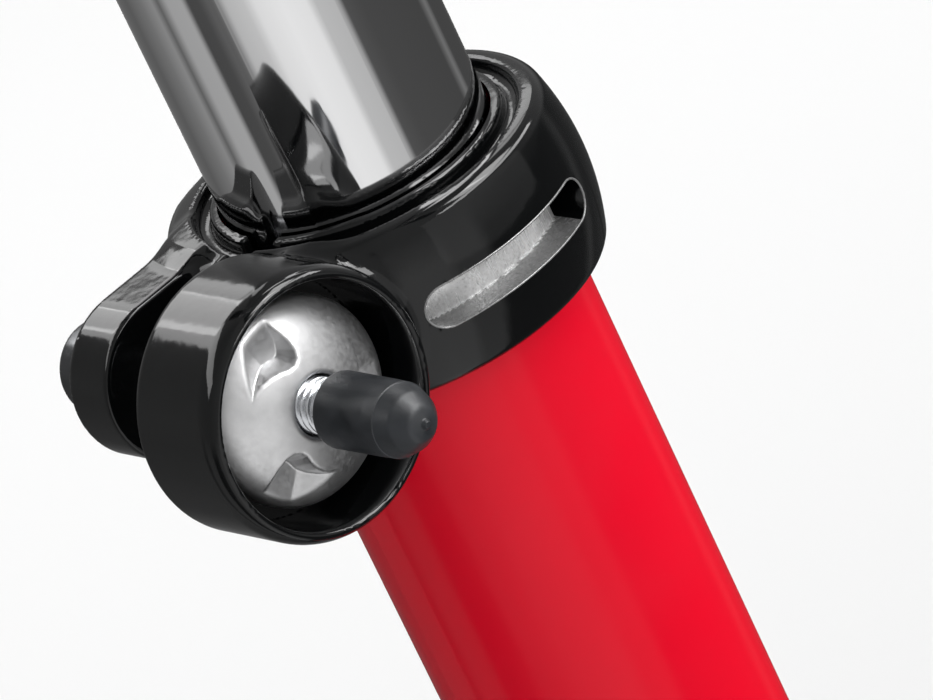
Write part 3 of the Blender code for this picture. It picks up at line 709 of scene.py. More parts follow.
NUT_RADIUS_MM = 9.2
DOME_RADIUS_MM = 13.6
DOME_CENTRE_MM = 4.75
NOTCH_FIRST = math.radians(16)
NOTCH_COUNT = 3
CROWN_HOLE_MM = 2.72
NOTCH_OUTLINE = [(4.4, 12), (2.8, 7.2), (2.4, 5.8), (1.95, 4.95), (1.4, 4.5), (0.75, 4.4), (0.15, 4.55),
                 (-0.55, 4.92), (-1.5, 5.2), (-2.4, 5.27), (-3.2, 5.17), (-3.93, 5.0), (-6.5, 4.3), (-9, 12)]


def nut_field(p):
    """The dome nut along X, about the bolt's axis, with three finger notches whose valleys are arcs."""
    x, y, z = p[:, 0], p[:, 1], p[:, 2]
    r = np.hypot(y, z)
    ball = np.sqrt((x - DOME_CENTRE_MM) ** 2 + r ** 2) - DOME_RADIUS_MM
    base = rounded_box(r, x - 17.2, NUT_RADIUS_MM, 5.0, 0.5)
    shape = meet(ball, base, 0.35)
    shape = smooth_cut(shape, r - CROWN_HOLE_MM, 0.5)
    for number in range(NOTCH_COUNT):
        turn = NOTCH_FIRST + number * math.tau / NOTCH_COUNT
        out = z * math.cos(turn) - y * math.sin(turn)
        side = y * math.cos(turn) + z * math.sin(turn)
        wall = (polygon(side, out, NOTCH_OUTLINE) + 0.4 * (17.3 - x)) * 0.93
        floor = (15.5 + np.maximum(0.39 * (-0.6 - side), 0) - x) * 0.96
        shape = smooth_cut(shape, -smooth_union(-wall, -floor, 0.1), 0.2)
    return shape


def clamp_nut():
    low, high = [(corner - BOLT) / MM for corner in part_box("clamp_nut")]
    mesh = skin("nut", nut_field, low, high, fineness(0.13))
    mesh.transform(Matrix.Translation(BOLT))
    piece("dome_nut", finish_mesh(mesh, 40), "clamp_nut", "satin_silver", "clamp_nut")


def hexagonal(reach, limit, floor):
    """Reshapes rows inside a limit radius and above a floor into a hexagonal socket."""
    hexagon = math.tau / 6

    def reshape(p):
        r = math.hypot(p.x, p.y)
        if not 1e-6 < r < limit or p.z <= floor:
            return p
        angle = math.atan2(p.y, p.x) % hexagon - hexagon / 2
        scale = reach / math.cos(angle) / r
        return Vector((p.x * scale, p.y * scale, p.z))
    return reshape


def thread(radius, pitch, depth, start, end, steps=40, per_turn=10):
    """A rod along Z with a screw thread that fades out at both ends."""
    rows = int((end - start) / pitch * per_turn)
    points = []
    for row in range(rows + 1):
        height = start + (end - start) * row / rows
        for number in range(steps):
            angle = math.tau * number / steps
            phase = (height / pitch - number / steps) % 1
            groove = min(1, max(0, 1.6 * (1 - abs(2 * phase - 1)) - 0.2))
            fade = min(1, (height - start) / pitch, (end - height) / pitch)
            reach = radius - depth * groove * max(0, fade)
            points.append((reach * math.cos(angle), reach * math.sin(angle), height))
    faces = []
    for row in range(rows):
        for number in range(steps):
            after = (number + 1) % steps
            a, b = row * steps, (row + 1) * steps
            faces.append((a + number, a + after, b + after, b + number))
    low_middle = len(points)
    points.append((0, 0, start))
    points.append((0, 0, end))
    for number in range(steps):
        after = (number + 1) % steps
        faces.append((low_middle, after, number))
        faces.append((low_middle + 1, rows * steps + number, rows * steps + after))
    return mesh_from("thread", points, faces)


def clamp_bolt():
    """M5 bolt: rolled thread from the ears outwards and a socket head."""
    head_top = BOLT_LOW.x
    seat = head_top + 3.4 * MM
    shank = along_x(thread(2.5 * MM, 0.8 * MM, 0.45 * MM, 2 * MM, BOLT_HIGH.x), 1, BOLT)
    piece("bolt_thread", finish_mesh(shank, 60), "clamp_screw", "zinc_plate", "clamp_bolt")
    radius = 4.25 * MM
    floor = seat - 1.2 * MM
    corners = [(2.3 * MM, floor), (2.3 * MM, head_top + 0.05 * MM, 0.05 * MM),
               (2.5 * MM, head_top), (radius, head_top, 0.6 * MM), (radius, seat, 0.15 * MM),
               (2.45 * MM, seat), (2.45 * MM, 2.2 * MM), (0, 2.2 * MM)]
    profile = [(0, -floor)] + rounded([(r, -x, *rest) for r, x, *rest in corners])
    head = along_x(lathe("head", profile, 96, hexagonal(2.0 * MM, 2.4 * MM, 0.9 * MM - seat)), -1, BOLT)
    # The head takes the darkened copy of the zinc: painted shade.
    piece("bolt_head", finish_mesh(head), "clamp_screw", "zinc_plate", look="zinc_painted_shade")


def thread_cap():
    """Rubber cap on the bolt's end: domed nose with a moulding nub, a parting ring and a soft mouth."""
    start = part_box("thread_cap")[0].x
    corners = [(0, 11.5), (0.3, 11.5, 0.12), (0.5, 11.1, 0.2), (1.5, 10.8, 1.2), (2.65, 9.4, 1.4),
               (3.18, 8.0, 0.3), (3.28, 7.95, 0.05), (3.24, 7.85, 0.05), (3.3, 6.6, 0.5), (3.35, 0.0, 0.35),
               (2.8, 0.0, 0.2), (2.8, 9.0), (0, 9.2)]
    mesh = lathe("cap", in_metres(rounded(corners, 6)), 72)
    along_x(mesh, 1, BOLT + Vector((start, 0, 0)))
    piece("bolt_end_cap", finish_mesh(mesh, 50), "clamp_screw", "cap_rubber", "thread_cap")


# ---- shared shapes of tubes and fasteners

def tube_mesh(name, radius, wall, low, high):
    edge = 0.4 * MM
    inner = radius - wall
    middle = (low + high) / 2
    corners = [(inner, middle), (inner, high, edge), (radius, high, edge), (radius, low, edge),
               (inner, low, edge), (inner, middle - 0.01 * MM)]
    return lathe(name, rounded(corners, 3), 128)


def disc_mesh(radius, low, high, steps=64):
    return lathe("disc", [(0, high), (radius, high), (radius, low), (0, low)], steps)


def box_mesh(low, high):
    low, high = Vector(low), Vector(high)
    shell = bmesh.new()
    place = Matrix.Translation((low + high) / 2) @ Matrix.Diagonal((*(high - low), 1))
    bmesh.ops.create_cube(shell, size=1, matrix=place)
    mesh = bpy.data.meshes.new("box")
    shell.to_mesh(mesh)
    shell.free()
    return mesh


def carved(mesh, *cutters):
    """A mesh with closed meshes cut out of it."""
    obj = placed("carved", mesh)
    helpers = [placed("cutter", cutter) for cutter in cutters]
    for helper in helpers:
        step = obj.modifiers.new("cut", "BOOLEAN")
        step.operation = "DIFFERENCE"
        step.solver = "MANIFOLD"
        step.object = helper
    bpy.context.view_layer.update()
    made = bpy.data.meshes.new_from_object(obj.evaluated_get(bpy.context.evaluated_depsgraph_get()))
    for done in [obj, *helpers]:
        bpy.data.objects.remove(done)
    made.materials.clear()
    return made


def mirrored(mesh):
    """The same mesh on the other side of the YZ plane."""
    made = mesh.copy()
    made.transform(Matrix.Scale(-1, 4, (1, 0, 0)))
    made.flip_normals()
    return made


def outwards(number):
    """Turns a mesh made along Z so that it points out of the tube, towards one of the three cap screws."""
    turn = Matrix.Rotation(math.radians(90 + 120 * number), 4, "Z") @ Matrix.Rotation(math.pi / 2, 4, "Y")
    return Matrix.Translation((0, 0, SCREW_HEIGHT)) @ turn


def screw_holes():
    """Cutters for the screws that hold the lower cap."""
    holes = [disc_mesh(SCREW_HOLE_RADIUS, 11 * MM, 20 * MM, 48) for _ in range(SCREW_COUNT)]
    for number, hole in enumerate(holes):
        hole.transform(outwards(number))
    return holes


def across_pin(mesh):
    """Turns a mesh made along Z so that it lies along the rivet across the main tube."""
    mesh.transform(Matrix.Translation((0, 0, PIN_HEIGHT)) @ Matrix.Rotation(math.pi / 2, 4, "X"))
    return mesh


def swept(name, path, radius_at, closed=True, sides=12):
    """A round bead along a path of points. Its radius can change along the way."""
    count = len(path)
    points = []
    faces = []
    for number, spot in enumerate(path):
        before = path[(number - 1) % count] if closed or number else spot
        after = path[(number + 1) % count] if closed or number < count - 1 else spot
        along = (after - before).normalized()
        side = along.cross(Vector((0.31, 0.17, 0.93))).normalized()
        other = along.cross(side)
        radius = radius_at(number / count)
        for corner in range(sides):
            angle = math.tau * corner / sides
            points.append(spot + (side * math.cos(angle) + other * math.sin(angle)) * radius)
    for number in range(count if closed else count - 1):
        for corner in range(sides):
            on = (corner + 1) % sides
            a, b = number * sides, (number + 1) % count * sides
            faces.append((a + corner, a + on, b + on, b + corner))
    if not closed:
        faces.append(tuple(reversed(range(sides))))
        faces.append(tuple(range((count - 1) * sides, count * sides)))
    mesh = mesh_from(name, points, faces)
    shell = bmesh.new()
    shell.from_mesh(mesh)
    bmesh.ops.recalc_face_normals(shell, faces=shell.faces)
    shell.to_mesh(mesh)
    shell.free()
    return mesh


def ring_angles(scales):
    count = scales * SCALE_STEPS
    return [math.tau * number / count for number in range(count)]


def weld_radius(size, ripples):
    """Radius of a weld bead: even scales that follow each other along the seam."""
    def radius_at(share):
        phase = share * ripples % 1
        return size * (0.9 + 0.13 * math.sin(math.pi * phase) + 0.02 * math.sin(37 * share))
    return radius_at


def screw_mesh(head_height, shank_radius, shank_length):
    """A button-head screw along Z, its seat at zero, with a hexagon socket."""
    head = 3.5 * MM
    socket = 1.25 * MM
    floor = head_height * 0.35
    corners = [(socket * 1.12, floor), (socket * 1.12, head_height - 0.02 * MM, 0.05 * MM),
               (socket * 1.35, head_height), (head * 0.72, 0.88 * head_height, head * 0.3),
               (head, 0.25 * head_height, 0.25 * head_height), (head, 0, 0.1 * MM), (shank_radius, 0),
               (shank_radius, -shank_length, 0.3 * MM), (0, -shank_length)]
    reshape = hexagonal(socket, socket * 1.2, floor - 0.01 * MM)
    return lathe("screw", [(0, floor)] + rounded(corners, 5), 96, reshape)


# ---- tubes and their welds

def main_tube():
    mesh = tube_mesh("main", MAIN_RADIUS, MAIN_WALL, MAIN_LOW.z, MAIN_HIGH.z)
    top = MAIN_HIGH.z
    slot = box_mesh((-1.5 * MM, -20 * MM, top - 12 * MM), (1.5 * MM, -5 * MM, top + 1 * MM))
    pin_hole = across_pin(disc_mesh(PIN_RADIUS + GAP, -20 * MM, 20 * MM))
    mesh = carved(mesh, slot, pin_hole, *screw_holes())
    piece("main_tube_painted", finish_mesh(mesh), "frame", "red_paint", "main_tube")


def step_tube(word, side):
    mesh = along_x(tube_mesh("step", STEP_RADIUS, TUBE_WALL, 5 * MM, STEP_HIGH.x), 1, (0, 0, STEP_HEIGHT))
    mesh = carved(mesh, disc_mesh(MAIN_RADIUS + GAP, STEP_HEIGHT - 30 * MM, STEP_HEIGHT + 30 * MM, 96))
    seam = []
    ring = STEP_RADIUS + 0.7 * MM
    for angle in ring_angles(STEP_WELD_SCALES):
        y = ring * math.cos(angle)
        x = math.sqrt((MAIN_RADIUS + 0.9 * MM) ** 2 - y * y)
        seam.append(Vector((x, y, STEP_HEIGHT + ring * math.sin(angle))))
    weld = swept("weld", seam, weld_radius(1.9 * MM, STEP_WELD_SCALES))
    if side < 0:
        mesh, weld = mirrored(mesh), mirrored(weld)
    piece("step_tube_" + word + "_painted", finish_mesh(mesh), "frame", "red_paint", "step_tube_" + word)
    piece("step_weld_" + word, finish_mesh(weld, 60), "frame", "red_paint")


def gusset(word, side):
    """Hollowed plate under a step tube with softened edges, and its welds to both tubes."""
    near = MAIN_RADIUS / MM + 0.3
    top = -STEP_RADIUS / MM - 0.3
    outline = [(near, top), (34.0, top), (33.0, top - 3)]
    for number in range(15):
        angle = math.radians(105 + 5 * number)
        outline.append((near + 21 + 17 * math.cos(angle), top - 24 + 17 * math.sin(angle)))
    outline += [(near + 3.5, top - 33), (near, top - 33)]

    def plate(p):
        return meet(polygon(p[:, 0], p[:, 2], outline), np.abs(p[:, 1]) - 2.0, 0.6)
    mesh = skin("gusset", plate, (near, -2, top - 33), (34, 2, top), fineness(0.4))
    mesh.transform(Matrix.Translation((0, 0, STEP_HEIGHT)))
    if side < 0:
        mesh = mirrored(mesh)
    piece("gusset_" + word, finish_mesh(mesh, 50), "frame", "red_paint", "step_gusset_" + word)
    down = [(near - 0.1, top - 1.5 - 29.5 * step / 90) for step in range(91)]
    out = [(near + 1 + 17.5 * step / 60, top + 0.2) for step in range(61)]
    for number, y in enumerate((-2.2 * MM, 2.2 * MM)):
        for line, name, scales in ((down, "down", 15), (out, "out", 10)):
            path = [Vector((side * x * MM, y, STEP_HEIGHT + z * MM)) for x, z in line]
            weld = swept("weld", path, weld_radius(1.3 * MM, scales), closed=False)
            label = "gusset_weld_%s_%s_%d" % (name, word, number + 1)
            piece(label, finish_mesh(weld, 60), "frame", "red_paint")


def stem_and_bar():
    mesh = tube_mesh("stem", STEM_RADIUS, TUBE_WALL, STEM_LOW.z, STEM_HIGH.z)
    cope = along_x(disc_mesh(BAR_RADIUS + GAP, -30 * MM, 30 * MM, 96), 1, (0, 0, BAR_HEIGHT))
    piece("stem_chromed", finish_mesh(carved(mesh, cope)), "handlebar", "chrome", "stem_tube")
    mesh = along_x(tube_mesh("bar", BAR_RADIUS, TUBE_WALL, BAR_LOW.x, BAR_HIGH.x), 1, (0, 0, BAR_HEIGHT))
    piece("handlebar_chromed", finish_mesh(mesh), "handlebar", "chrome", "handle_bar")
    seam = []
    reach = BAR_RADIUS + 0.5 * MM
    widest = 1.25                                   # angle on the bar where the seam is widest
    for angle in ring_angles(STEM_WELD_SCALES):
        share = max(-1, min(1, STEM_RADIUS * math.sin(angle) / (BAR_RADIUS + 0.4 * MM)))
        y = reach * math.sin(share * widest) / math.sin(widest)
        seam.append(Vector(((STEM_RADIUS + 0.2 * MM) * math.cos(angle), y,
                            BAR_HEIGHT - reach * math.cos(share * widest))))
    weld = swept("weld", seam, weld_radius(1.7 * MM, STEM_WELD_SCALES))
    piece("stem_weld", finish_mesh(weld, 60), "handlebar", "chrome")


def plunger():
    mesh = tube_mesh("plunger", PLUNGER_RADIUS, 2 * MM, PLUNGER_LOW.z, PLUNGER_HIGH.z)
    piece("plunger_chromed", finish_mesh(mesh), "plunger", "chrome", "plunger_tube")


# ---- steps' treads, caps and plugs

TREAD_START_MM, TREAD_END_MM = [corner.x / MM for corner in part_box("tread_right")]
TREAD_SCREW_MM = 84.0
TREAD_TOP_MM = 14.5                                 # flat top above the step tube's axis
TREAD_RADIUS_MM = 16.5
GROOVE_COUNT = 8


def tread_field(p):
    """Rubber sleeve along X about its step tube: flat grooved top, round underside, bore and screw seat."""
    x, y, z = p[:, 0], p[:, 1], p[:, 2]
    flat = rounded_box(y, z - 4.6, 16.9, 9.9, 3.2)
    section = meet(smooth_union(np.hypot(y, z) - TREAD_RADIUS_MM, flat, 1.5), z - TREAD_TOP_MM, 0.8)
    middle = (TREAD_START_MM + TREAD_END_MM) / 2
    shape = meet(section, np.abs(x - middle) - (TREAD_END_MM - middle), 1.2)
    pitch = (TREAD_END_MM - TREAD_START_MM) / (GROOVE_COUNT + 1)
    nearest = TREAD_START_MM + pitch * np.clip(np.round((x - TREAD_START_MM) / pitch), 1, GROOVE_COUNT)
    groove = np.maximum(np.abs(x - nearest) - 1.5, 13.1 - z)
    shape = smooth_cut(shape, groove, 0.7)
    rib = np.maximum(np.abs((z + 3) % 3.0 - 1.5) - 0.45, np.maximum(16.1 - np.abs(y), np.abs(z - 4) - 5.5))
    shape = smooth_cut(shape, rib, 0.4)
    across = np.hypot(x - TREAD_SCREW_MM, y)
    shape = smooth_cut(shape, np.maximum(across - 4.0, z + 13.9), 0.3)
    shape = np.maximum(shape, -np.maximum(across - 2.0, z))
    return np.maximum(shape, 11.3 - np.hypot(y, z))


def treads():
    low = (TREAD_START_MM, -17, -TREAD_RADIUS_MM - 0.1)
    right = skin("tread", tread_field, low, (TREAD_END_MM, 17, TREAD_TOP_MM), fineness(0.5))
    right.transform(Matrix.Translation((0, 0, STEP_HEIGHT)))
    for word, side, mesh in (("right", 1, right), ("left", -1, mirrored(right))):
        piece("tread_" + word + "_ribbed", finish_mesh(mesh, 40), "frame", "black_rubber", "tread_" + word)
        screw = screw_mesh(2.1 * MM, 1.7 * MM, 6.6 * MM)
        screw.transform(Matrix.Rotation(math.pi, 4, "X"))
        screw.transform(Matrix.Translation((side * TREAD_SCREW_MM * MM, 0, STEP_HEIGHT - 14.2 * MM)))
        piece("tread_" + word + "_screw", finish_mesh(screw), "frame", "zinc_plate", "tread_screw_" + word)


def plug(name, side, tube_radius, end, height, head, body, node):
    """Push-in end plug: a domed head with a softened rim over a ribbed spigot."""
    face = end + GAP
    spigot = tube_radius - TUBE_WALL - GAP
    profile = rounded([(0, face + 3.2 * MM), (head * 0.55, face + 2.95 * MM, 6 * MM),
                       (head * 0.92, face + 1.9 * MM, 3 * MM), (head, face + 0.7 * MM, 0.8 * MM),
                       (head, face, 0.3 * MM), (spigot, face)])
    for rib in range(3):
        start = end - (2 + 4 * rib) * MM
        profile += [(spigot - 0.5 * MM, start), (spigot - 0.5 * MM, start - 2.5 * MM),
                    (spigot, start - 3.1 * MM)]
    profile += [(spigot - 2 * MM, end - 16 * MM), (0, end - 16 * MM)]
    mesh = along_x(lathe("plug", profile, 72), side, (0, 0, height))
    piece(name, finish_mesh(mesh), body, "black_nylon", node)


def lower_cap():
    """Nylon cap over the tube's lower end, with a hollowed band and softened rims."""
    bore = PLUNGER_RADIUS / MM + 0.3
    fit = MAIN_RADIUS / MM + 0.3
    outside = LOWER_CAP_HIGH.x / MM
    band = outside - 0.35
    top, low = LOWER_CAP_HIGH.z / MM, LOWER_CAP_LOW.z / MM
    stop = MAIN_LOW.z / MM - 0.3
    corners = [(fit, top - 3), (fit, top, 0.3), (outside, top, 1.0), (outside, top - 3.5, 0.3),
               (band, top - 4, 0.2), (band, top - 14, 0.2), (outside, top - 14.5, 0.3),
               (outside, low + 1.6, 1.5), (outside - 1.8, low, 1.2), (bore, low, 0.6), (bore, stop),
               (fit, stop)]
    mesh = lathe("lower_cap", in_metres(rounded(corners, 4)), 144)
    piece("lower_cap", finish_mesh(carved(mesh, *screw_holes())), "frame", "black_nylon", "bottom_cap")
    for number in range(SCREW_COUNT):
        screw = screw_mesh(1.85 * MM, 2.0 * MM, 5.9 * MM)
        screw.transform(outwards(number) @ Matrix.Translation((0, 0, 17.5 * MM)))
        name = "cap_screw_%d" % (number + 1)
        piece(name + "_socket_head", finish_mesh(screw), "frame", "zinc_plate", name)


def foot():
    """Rubber foot: ribbed neck, flared base with flutes, and ring grooves in its underside."""
    socket = PLUNGER_RADIUS / MM + 0.3
    floor = 12
    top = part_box("foot_tip")[1].z / MM
    corners = [(socket, floor), (socket, top, 0.3), (12.7, top, 0.8), (13.4, top - 3, 1.5),
               (13.1, top - 5.2, 0.8), (14.0, top - 6.2, 0.6), (14.0, top - 7.8, 0.6), (12.9, top - 9, 0.8),
               (12.9, top - 12, 0.8),
               (14.0, top - 13.2, 0.6), (14.0, top - 14.8, 0.6), (13.1, top - 16, 0.8), (13.6, top - 21, 5),
               (16.5, 19, 6), (20.5, 12.5, 4), (21.5, 9, 3), (21.5, 1.6, 0.8), (20.4, 0, 0.8), (16.4, 0, 0.2),
               (16.1, 1.3, 0.2), (14.5, 1.3, 0.2), (14.2, 0, 0.2), (10.0, 0, 0.2), (9.7, 1.3, 0.2),
               (8.1, 1.3, 0.2), (7.8, 0, 0.2), (0, 0)]
    profile = in_metres([(0, floor)] + rounded(corners, 4))

    def fluted(p):
        r = math.hypot(p.x, p.y)
        if r < 17 * MM or p.z > 15 * MM:
            return p
        wave = (0.5 + 0.5 * math.cos(FLUTE_COUNT * math.atan2(p.y, p.x))) ** 3
        share = min(1, (r - 17 * MM) / (3 * MM)) * min(1, (15 * MM - p.z) / (4 * MM))
        scale = 1 - 1.1 * MM * wave * share / r
        return Vector((p.x * scale, p.y * scale, p.z))
    mesh = lathe("foot", profile, FLUTE_COUNT * 10, fluted)
    piece("rubber_foot", finish_mesh(mesh, 40), "plunger", "black_rubber", "foot_tip")


def washers():
    """Washers with rolled edges: under the bolt's head, under the nut and in the foot."""
    for name, bore, edge in (("bolt_washer", 2.8, 0.15), ("nut_washer", 2.8, 0.2), ("tip_washer", 0, 0.4)):
        low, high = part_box(name)
        lies_flat = name == "tip_washer"
        a, b = (low.z, high.z) if lies_flat else (low.x, high.x)
        outside = (high.y - low.y) / 2
        corners = [(bore * MM, b), (outside, b, edge * MM), (outside, a, edge * MM), (bore * MM, a)]
        mesh = lathe("washer", rounded(corners, 4))
        if not lies_flat:
            along_x(mesh, 1, BOLT)
        piece(name + "_rolled", finish_mesh(mesh), body_of(frame["nodes"][name])[0], SLOTS[name], name)


def seat_rivet():
    """Domed rivet across the tube."""
    half = rounded([(0, 17.4), (2.2, 17.2, 3), (4.2, 16.0, 1.5), (4.6, 14.75, 0.2), (3.0, 14.75)])
    profile = half + [(r, -z) for r, z in reversed(half)]
    mesh = across_pin(lathe("rivet", in_metres(profile), 72))
    piece("seat_rivet", finish_mesh(mesh), "frame", "zinc_plate", "seat_pin")


def grips():
    """Foam sleeves with soft rolled ends, a little fuller in the middle of the hand."""
    low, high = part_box("grip_right")
    bore = BAR_RADIUS + GAP
    radius = (high.y - low.y) / 2 - 0.4 * MM
    length = high.x - low.x
    roll = 3.2 * MM
    profile = []
    for number in range(GRIP_ROWS + 1):
        share = number / GRIP_ROWS
        end = min(share, 1 - share) * length
        drop = roll - math.sqrt(roll ** 2 - max(0, roll - end) ** 2)
        fuller = 0.35 * MM * math.sin(math.pi * share)
        profile.append((radius - drop + fuller, high.x - share * length))
    profile = [(bore, (low.x + high.x) / 2), (bore, high.x)] + profile + [(bore, low.x)]
    right = along_x(lathe("grip", profile), 1, (0, 0, BAR_HEIGHT))
    for word, mesh in (("right", right), ("left", mirrored(right))):
        obj = piece("foam_grip_" + word, finish_mesh(mesh, 50), "handlebar", "grip_foam", "grip_" + word)


def main_spring():
    """Compression spring with closed ends, riding on the frame. Its CAD node is declared to shorten with the
    plunger.
    """
    low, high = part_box("main_spring")
    radius = SPRING_WIRE / 2
    closed_turn = SPRING_WIRE + 0.1 * MM
    turns = (0, 1, SPRING_TURNS - 1, SPRING_TURNS)
    heights = (low.z + radius, low.z + radius + closed_turn, high.z - radius - closed_turn, high.z - radius)
    path = []
    for number in range(SPRING_TURNS * SPRING_STEPS + 1):
        turn = number / SPRING_STEPS
        across = SPRING_MEAN * math.cos(turn * math.tau)
        deep = SPRING_MEAN * math.sin(turn * math.tau)
        path.append(Vector((across, deep, np.interp(turn, turns, heights))))
    coil = finish_mesh(swept("coil", path, lambda share: radius, closed=False), 60)
    spring = piece("main_spring_coil", coil, "frame", "spring_steel", "main_spring")
    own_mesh(spring)


def dress_cad_nodes():
    """Materials for all CAD nodes; those that no piece stands for stay visible."""
    for name, obj in frame["nodes"].items():
        look = LOOKS[SLOTS[name]]
        if obj.data.materials:
            obj.data.materials[0] = look
        else:
            obj.data.materials.append(look)


# ---- camera, light and floor

CAMERA_AZIMUTH = math.radians(-31.5)                # where the camera stands, from +X towards +Y
CAMERA_ELEVATION = math.radians(23.82)
CAMERA_DISTANCE = 0.6203                            # from the middle of the collar's lip
CAMERA_ROLL = math.radians(25.64)
CAMERA_LENS = 274.0                                 # mm on a 36 mm wide sensor
LIP_IN_VIEW = Vector((-0.015911, 0.027668, -1))     # direction of the lip's middle from the camera


def from_sphere(azimuth, elevation, distance=1.0):
    """A point at an azimuth (degrees from +X towards +Y) and an elevation, seen from the collar."""
    a = math.radians(azimuth)
    e = math.radians(elevation)
    return Vector((math.cos(e) * math.cos(a), math.cos(e) * math.sin(a), math.sin(e))) * distance


def add_camera():
    back = from_sphere(math.degrees(CAMERA_AZIMUTH), math.degrees(CAMERA_ELEVATION))
    right = Vector((-math.sin(CAMERA_AZIMUTH), math.cos(CAMERA_AZIMUTH), 0))
    upright = Matrix((right, back.cross(right), back))
    rolled = Matrix.Rotation(CAMERA_ROLL, 3, "Z") @ upright
    aimed = Vector((0, 0, -1)).rotation_difference(LIP_IN_VIEW).to_matrix() @ rolled
    lens = bpy.data.cameras.new("camera")
    lens.lens = CAMERA_LENS
    lens.sensor_width = 36
    lens.clip_end = 100
    camera = placed("camera", lens)
    spot = back * CAMERA_DISTANCE + Vector((0, 0, COLLAR_TOP))
    camera.matrix_world = Matrix.Translation(spot) @ aimed.transposed().to_4x4()
    bpy.context.scene.camera = camera


def add_floor():
    mesh = bpy.data.meshes.new("floor")
    plane = bmesh.new()
    bmesh.ops.create_grid(plane, x_segments=1, y_segments=1, size=12)
    plane.to_mesh(mesh)
    plane.free()
    floor = placed("floor", mesh)
    mesh.materials.append(new_material("pale_floor", (0.9, 0.9, 0.9), 0.9))
    floor.visible_glossy = False


CARD_DISTANCE = 1.5

# Brightness round the studio by azimuth, in degrees from the camera's side: what shiny surfaces mirror
# at their own height and above it, and the soft light on everything else.
LOW_ROOM = [(-180, 0.4), (-172, 0.2), (-160, 0.14), (-140, 0.12), (-118, 0.2), (-104, 0.3), (-97, 0.14),
            (-88, 0.42), (-74, 0.44), (-69, 0.075), (-60, 0.08), (-50, 0.15), (-42, 0.58), (-28, 0.66),
            (-20, 0.9), (0, 1.0), (18, 0.95), (24, 0.62), (40, 0.58), (46, 0.1), (60, 0.08), (118, 0.07),
            (127, 0.2), (134, 0.07), (165, 0.065), (175, 0.12)]
HIGH_ROOM = [(-180, 0.45), (-120, 0.3), (-60, 0.35), (0, 0.5), (50, 0.5), (90, 0.35), (150, 0.4)]
SOFT_ROOM = [(-180, 0.5), (-140, 0.05), (-80, 0.0), (-40, 0.2), (0, 0.7), (60, 1.6), (110, 1.65), (150, 1.0),
             (179, 0.5)]


def bands_of(tree, azimuth, bands):
    """Brightness round the room as a colour ramp."""
    ramp = tree.nodes.new("ShaderNodeValToRGB")
    stops = ramp.color_ramp.elements
    stops.remove(stops[1])
    for number, (angle, value) in enumerate(bands):
        spot = (angle + 180) / 360
        stop = stops[0] if number == 0 else stops.new(spot)
        stop.position = spot
        stop.color = (value, value, value, 1)
    tree.links.new(azimuth, ramp.inputs["Fac"])
    return ramp.outputs["Color"]


def world_math(tree, operation, *inputs):
    node = tree.nodes.new("ShaderNodeMath")
    node.operation = operation
    for socket, value in zip(node.inputs, inputs):
        if isinstance(value, (int, float)):
            socket.default_value = value
        else:
            tree.links.new(value, socket)
    return node.outputs[0]


def world_mix(tree, share, a, b):
    node = tree.nodes.new("ShaderNodeMix")
    node.data_type = "RGBA"
    for socket, value in (("Factor", share), ("A", a), ("B", b)):
        tree.links.new(value, node.inputs[socket])
    return node.outputs["Result"]


def add_world():
    """A studio room: soft light for the floor and paint, and what shines sees its cards and dark corners."""
    world = bpy.data.worlds.new("studio")
    bpy.context.scene.world = world
    world.use_nodes = True
    tree = world.node_tree
    path = tree.nodes.new("ShaderNodeLightPath")
    place = tree.nodes.new("ShaderNodeTexCoord")
    split = tree.nodes.new("ShaderNodeSeparateXYZ")
    tree.links.new(place.outputs["Generated"], split.inputs["Vector"])
    azimuth = world_math(tree, "ARCTAN2", split.outputs["Y"], split.outputs["X"])
    turned = world_math(tree, "SUBTRACT", azimuth, CAMERA_AZIMUTH)
    wrapped = world_math(tree, "WRAP", turned, math.pi, -math.pi)
    share = world_math(tree, "MULTIPLY_ADD", wrapped, 1 / math.tau, 0.5)
    rise = tree.nodes.new("ShaderNodeMapRange")
    rise.inputs["From Min"].default_value = -0.15
    rise.inputs["From Max"].default_value = 0.1
    tree.links.new(split.outputs["Z"], rise.inputs["Value"])
    low, high, soft = [bands_of(tree, share, bands) for bands in (LOW_ROOM, HIGH_ROOM, SOFT_ROOM)]
    shiny = world_mix(tree, rise.outputs["Result"], low, high)
    seen = world_mix(tree, path.outputs["Is Glossy Ray"], soft, shiny)
    tree.links.new(seen, tree.nodes["Background"].inputs["Color"])


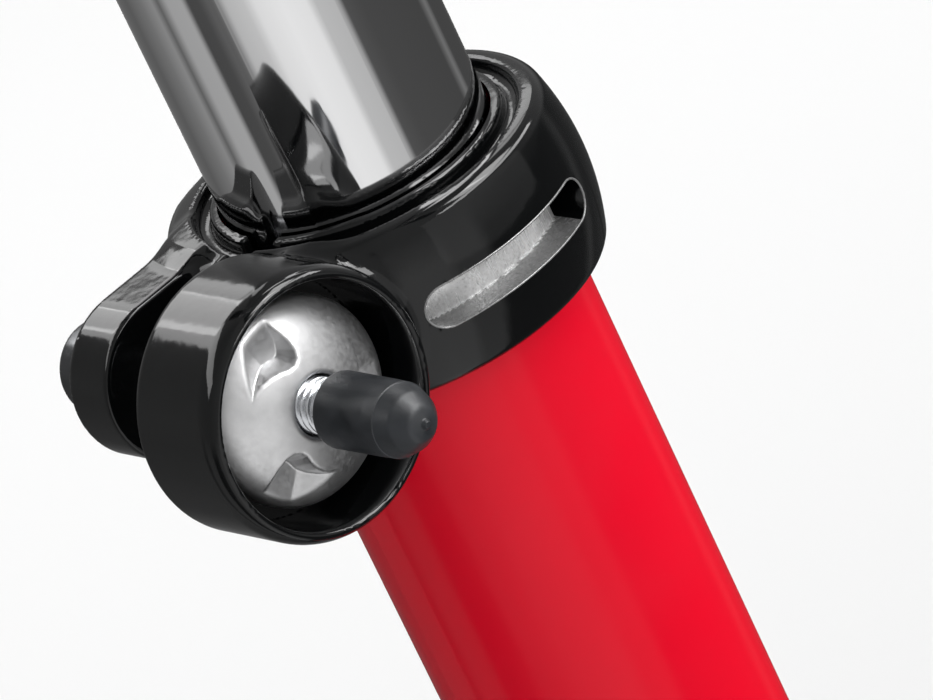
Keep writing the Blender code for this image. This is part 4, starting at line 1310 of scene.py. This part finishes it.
def card(name, azimuth, elevation, half_width, half_height, radiance):
    """A light that only what shines sees. It faces the collar and covers these half angles, in degrees."""
    light = bpy.data.lights.new(name, "AREA")
    light.shape = "RECTANGLE"
    light.size = 2 * CARD_DISTANCE * math.tan(math.radians(half_width))
    light.size_y = 2 * CARD_DISTANCE * math.tan(math.radians(half_height))
    light.energy = radiance * math.pi * light.size * light.size_y
    obj = placed(name, light)
    obj.visible_diffuse = False
    aim = Vector((0, 0, COLLAR_TOP))
    obj.location = aim + from_sphere(azimuth, elevation, CARD_DISTANCE)
    obj.rotation_euler = (aim - obj.location).to_track_quat("-Z", "Y").to_euler()


def floor_light():
    """A light for the floor behind the object, as the camera sees it."""
    light = bpy.data.lights.new("floor_light", "AREA")
    light.shape = "SQUARE"
    light.size = 1.2
    light.spread = math.radians(100)
    light.energy = 3.7
    obj = placed("floor_light", light)
    obj.location = from_sphere(148, 0, 1.65) + Vector((0, 0, 1.5))
    obj.visible_glossy = False


def add_lights():
    card("window", 22, 6, 36, 20, 0.32)
    card("skylight_low", 45, 37, 40, 5.5, 8)
    card("skylight_left", 34, 52, 9, 9, 9)
    card("skylight_right", 62, 52, 13, 9, 9)
    card("rear_window_side_low", 144, 29, 14, 4.6, 2.6)
    card("rear_window_side_high", 144, 39.4, 14, 4.6, 2.6)
    card("rear_window_low", 172, 35, 11, 6, 4.2)
    card("rear_window_high", -140, 46, 30, 7, 3.6)
    floor_light()
    bpy.context.scene.view_settings.view_transform = "Standard"


# ---- build

dress_cad_nodes()
main_tube()
main_spring()
stem_and_bar()
plunger()
treads()
lower_cap()
foot()
washers()
seat_rivet()
grips()
for step_word, step_side in (("right", 1), ("left", -1)):
    step_tube(step_word, step_side)
    gusset(step_word, step_side)
    plug("step_end_plug_" + step_word, step_side, STEP_RADIUS, STEP_HIGH.x, STEP_HEIGHT, 10.8 * MM,
         "frame", "step_plug_" + step_word)
    plug("bar_end_plug_" + step_word, step_side, BAR_RADIUS, BAR_HIGH.x, BAR_HEIGHT, 13.5 * MM,
         "handlebar", "bar_plug_" + step_word)
clamp_collar()
pocket_edge()
mould_line()
clamp_nut()
clamp_bolt()
thread_cap()
add_camera()
add_world()
add_lights()
add_floor()
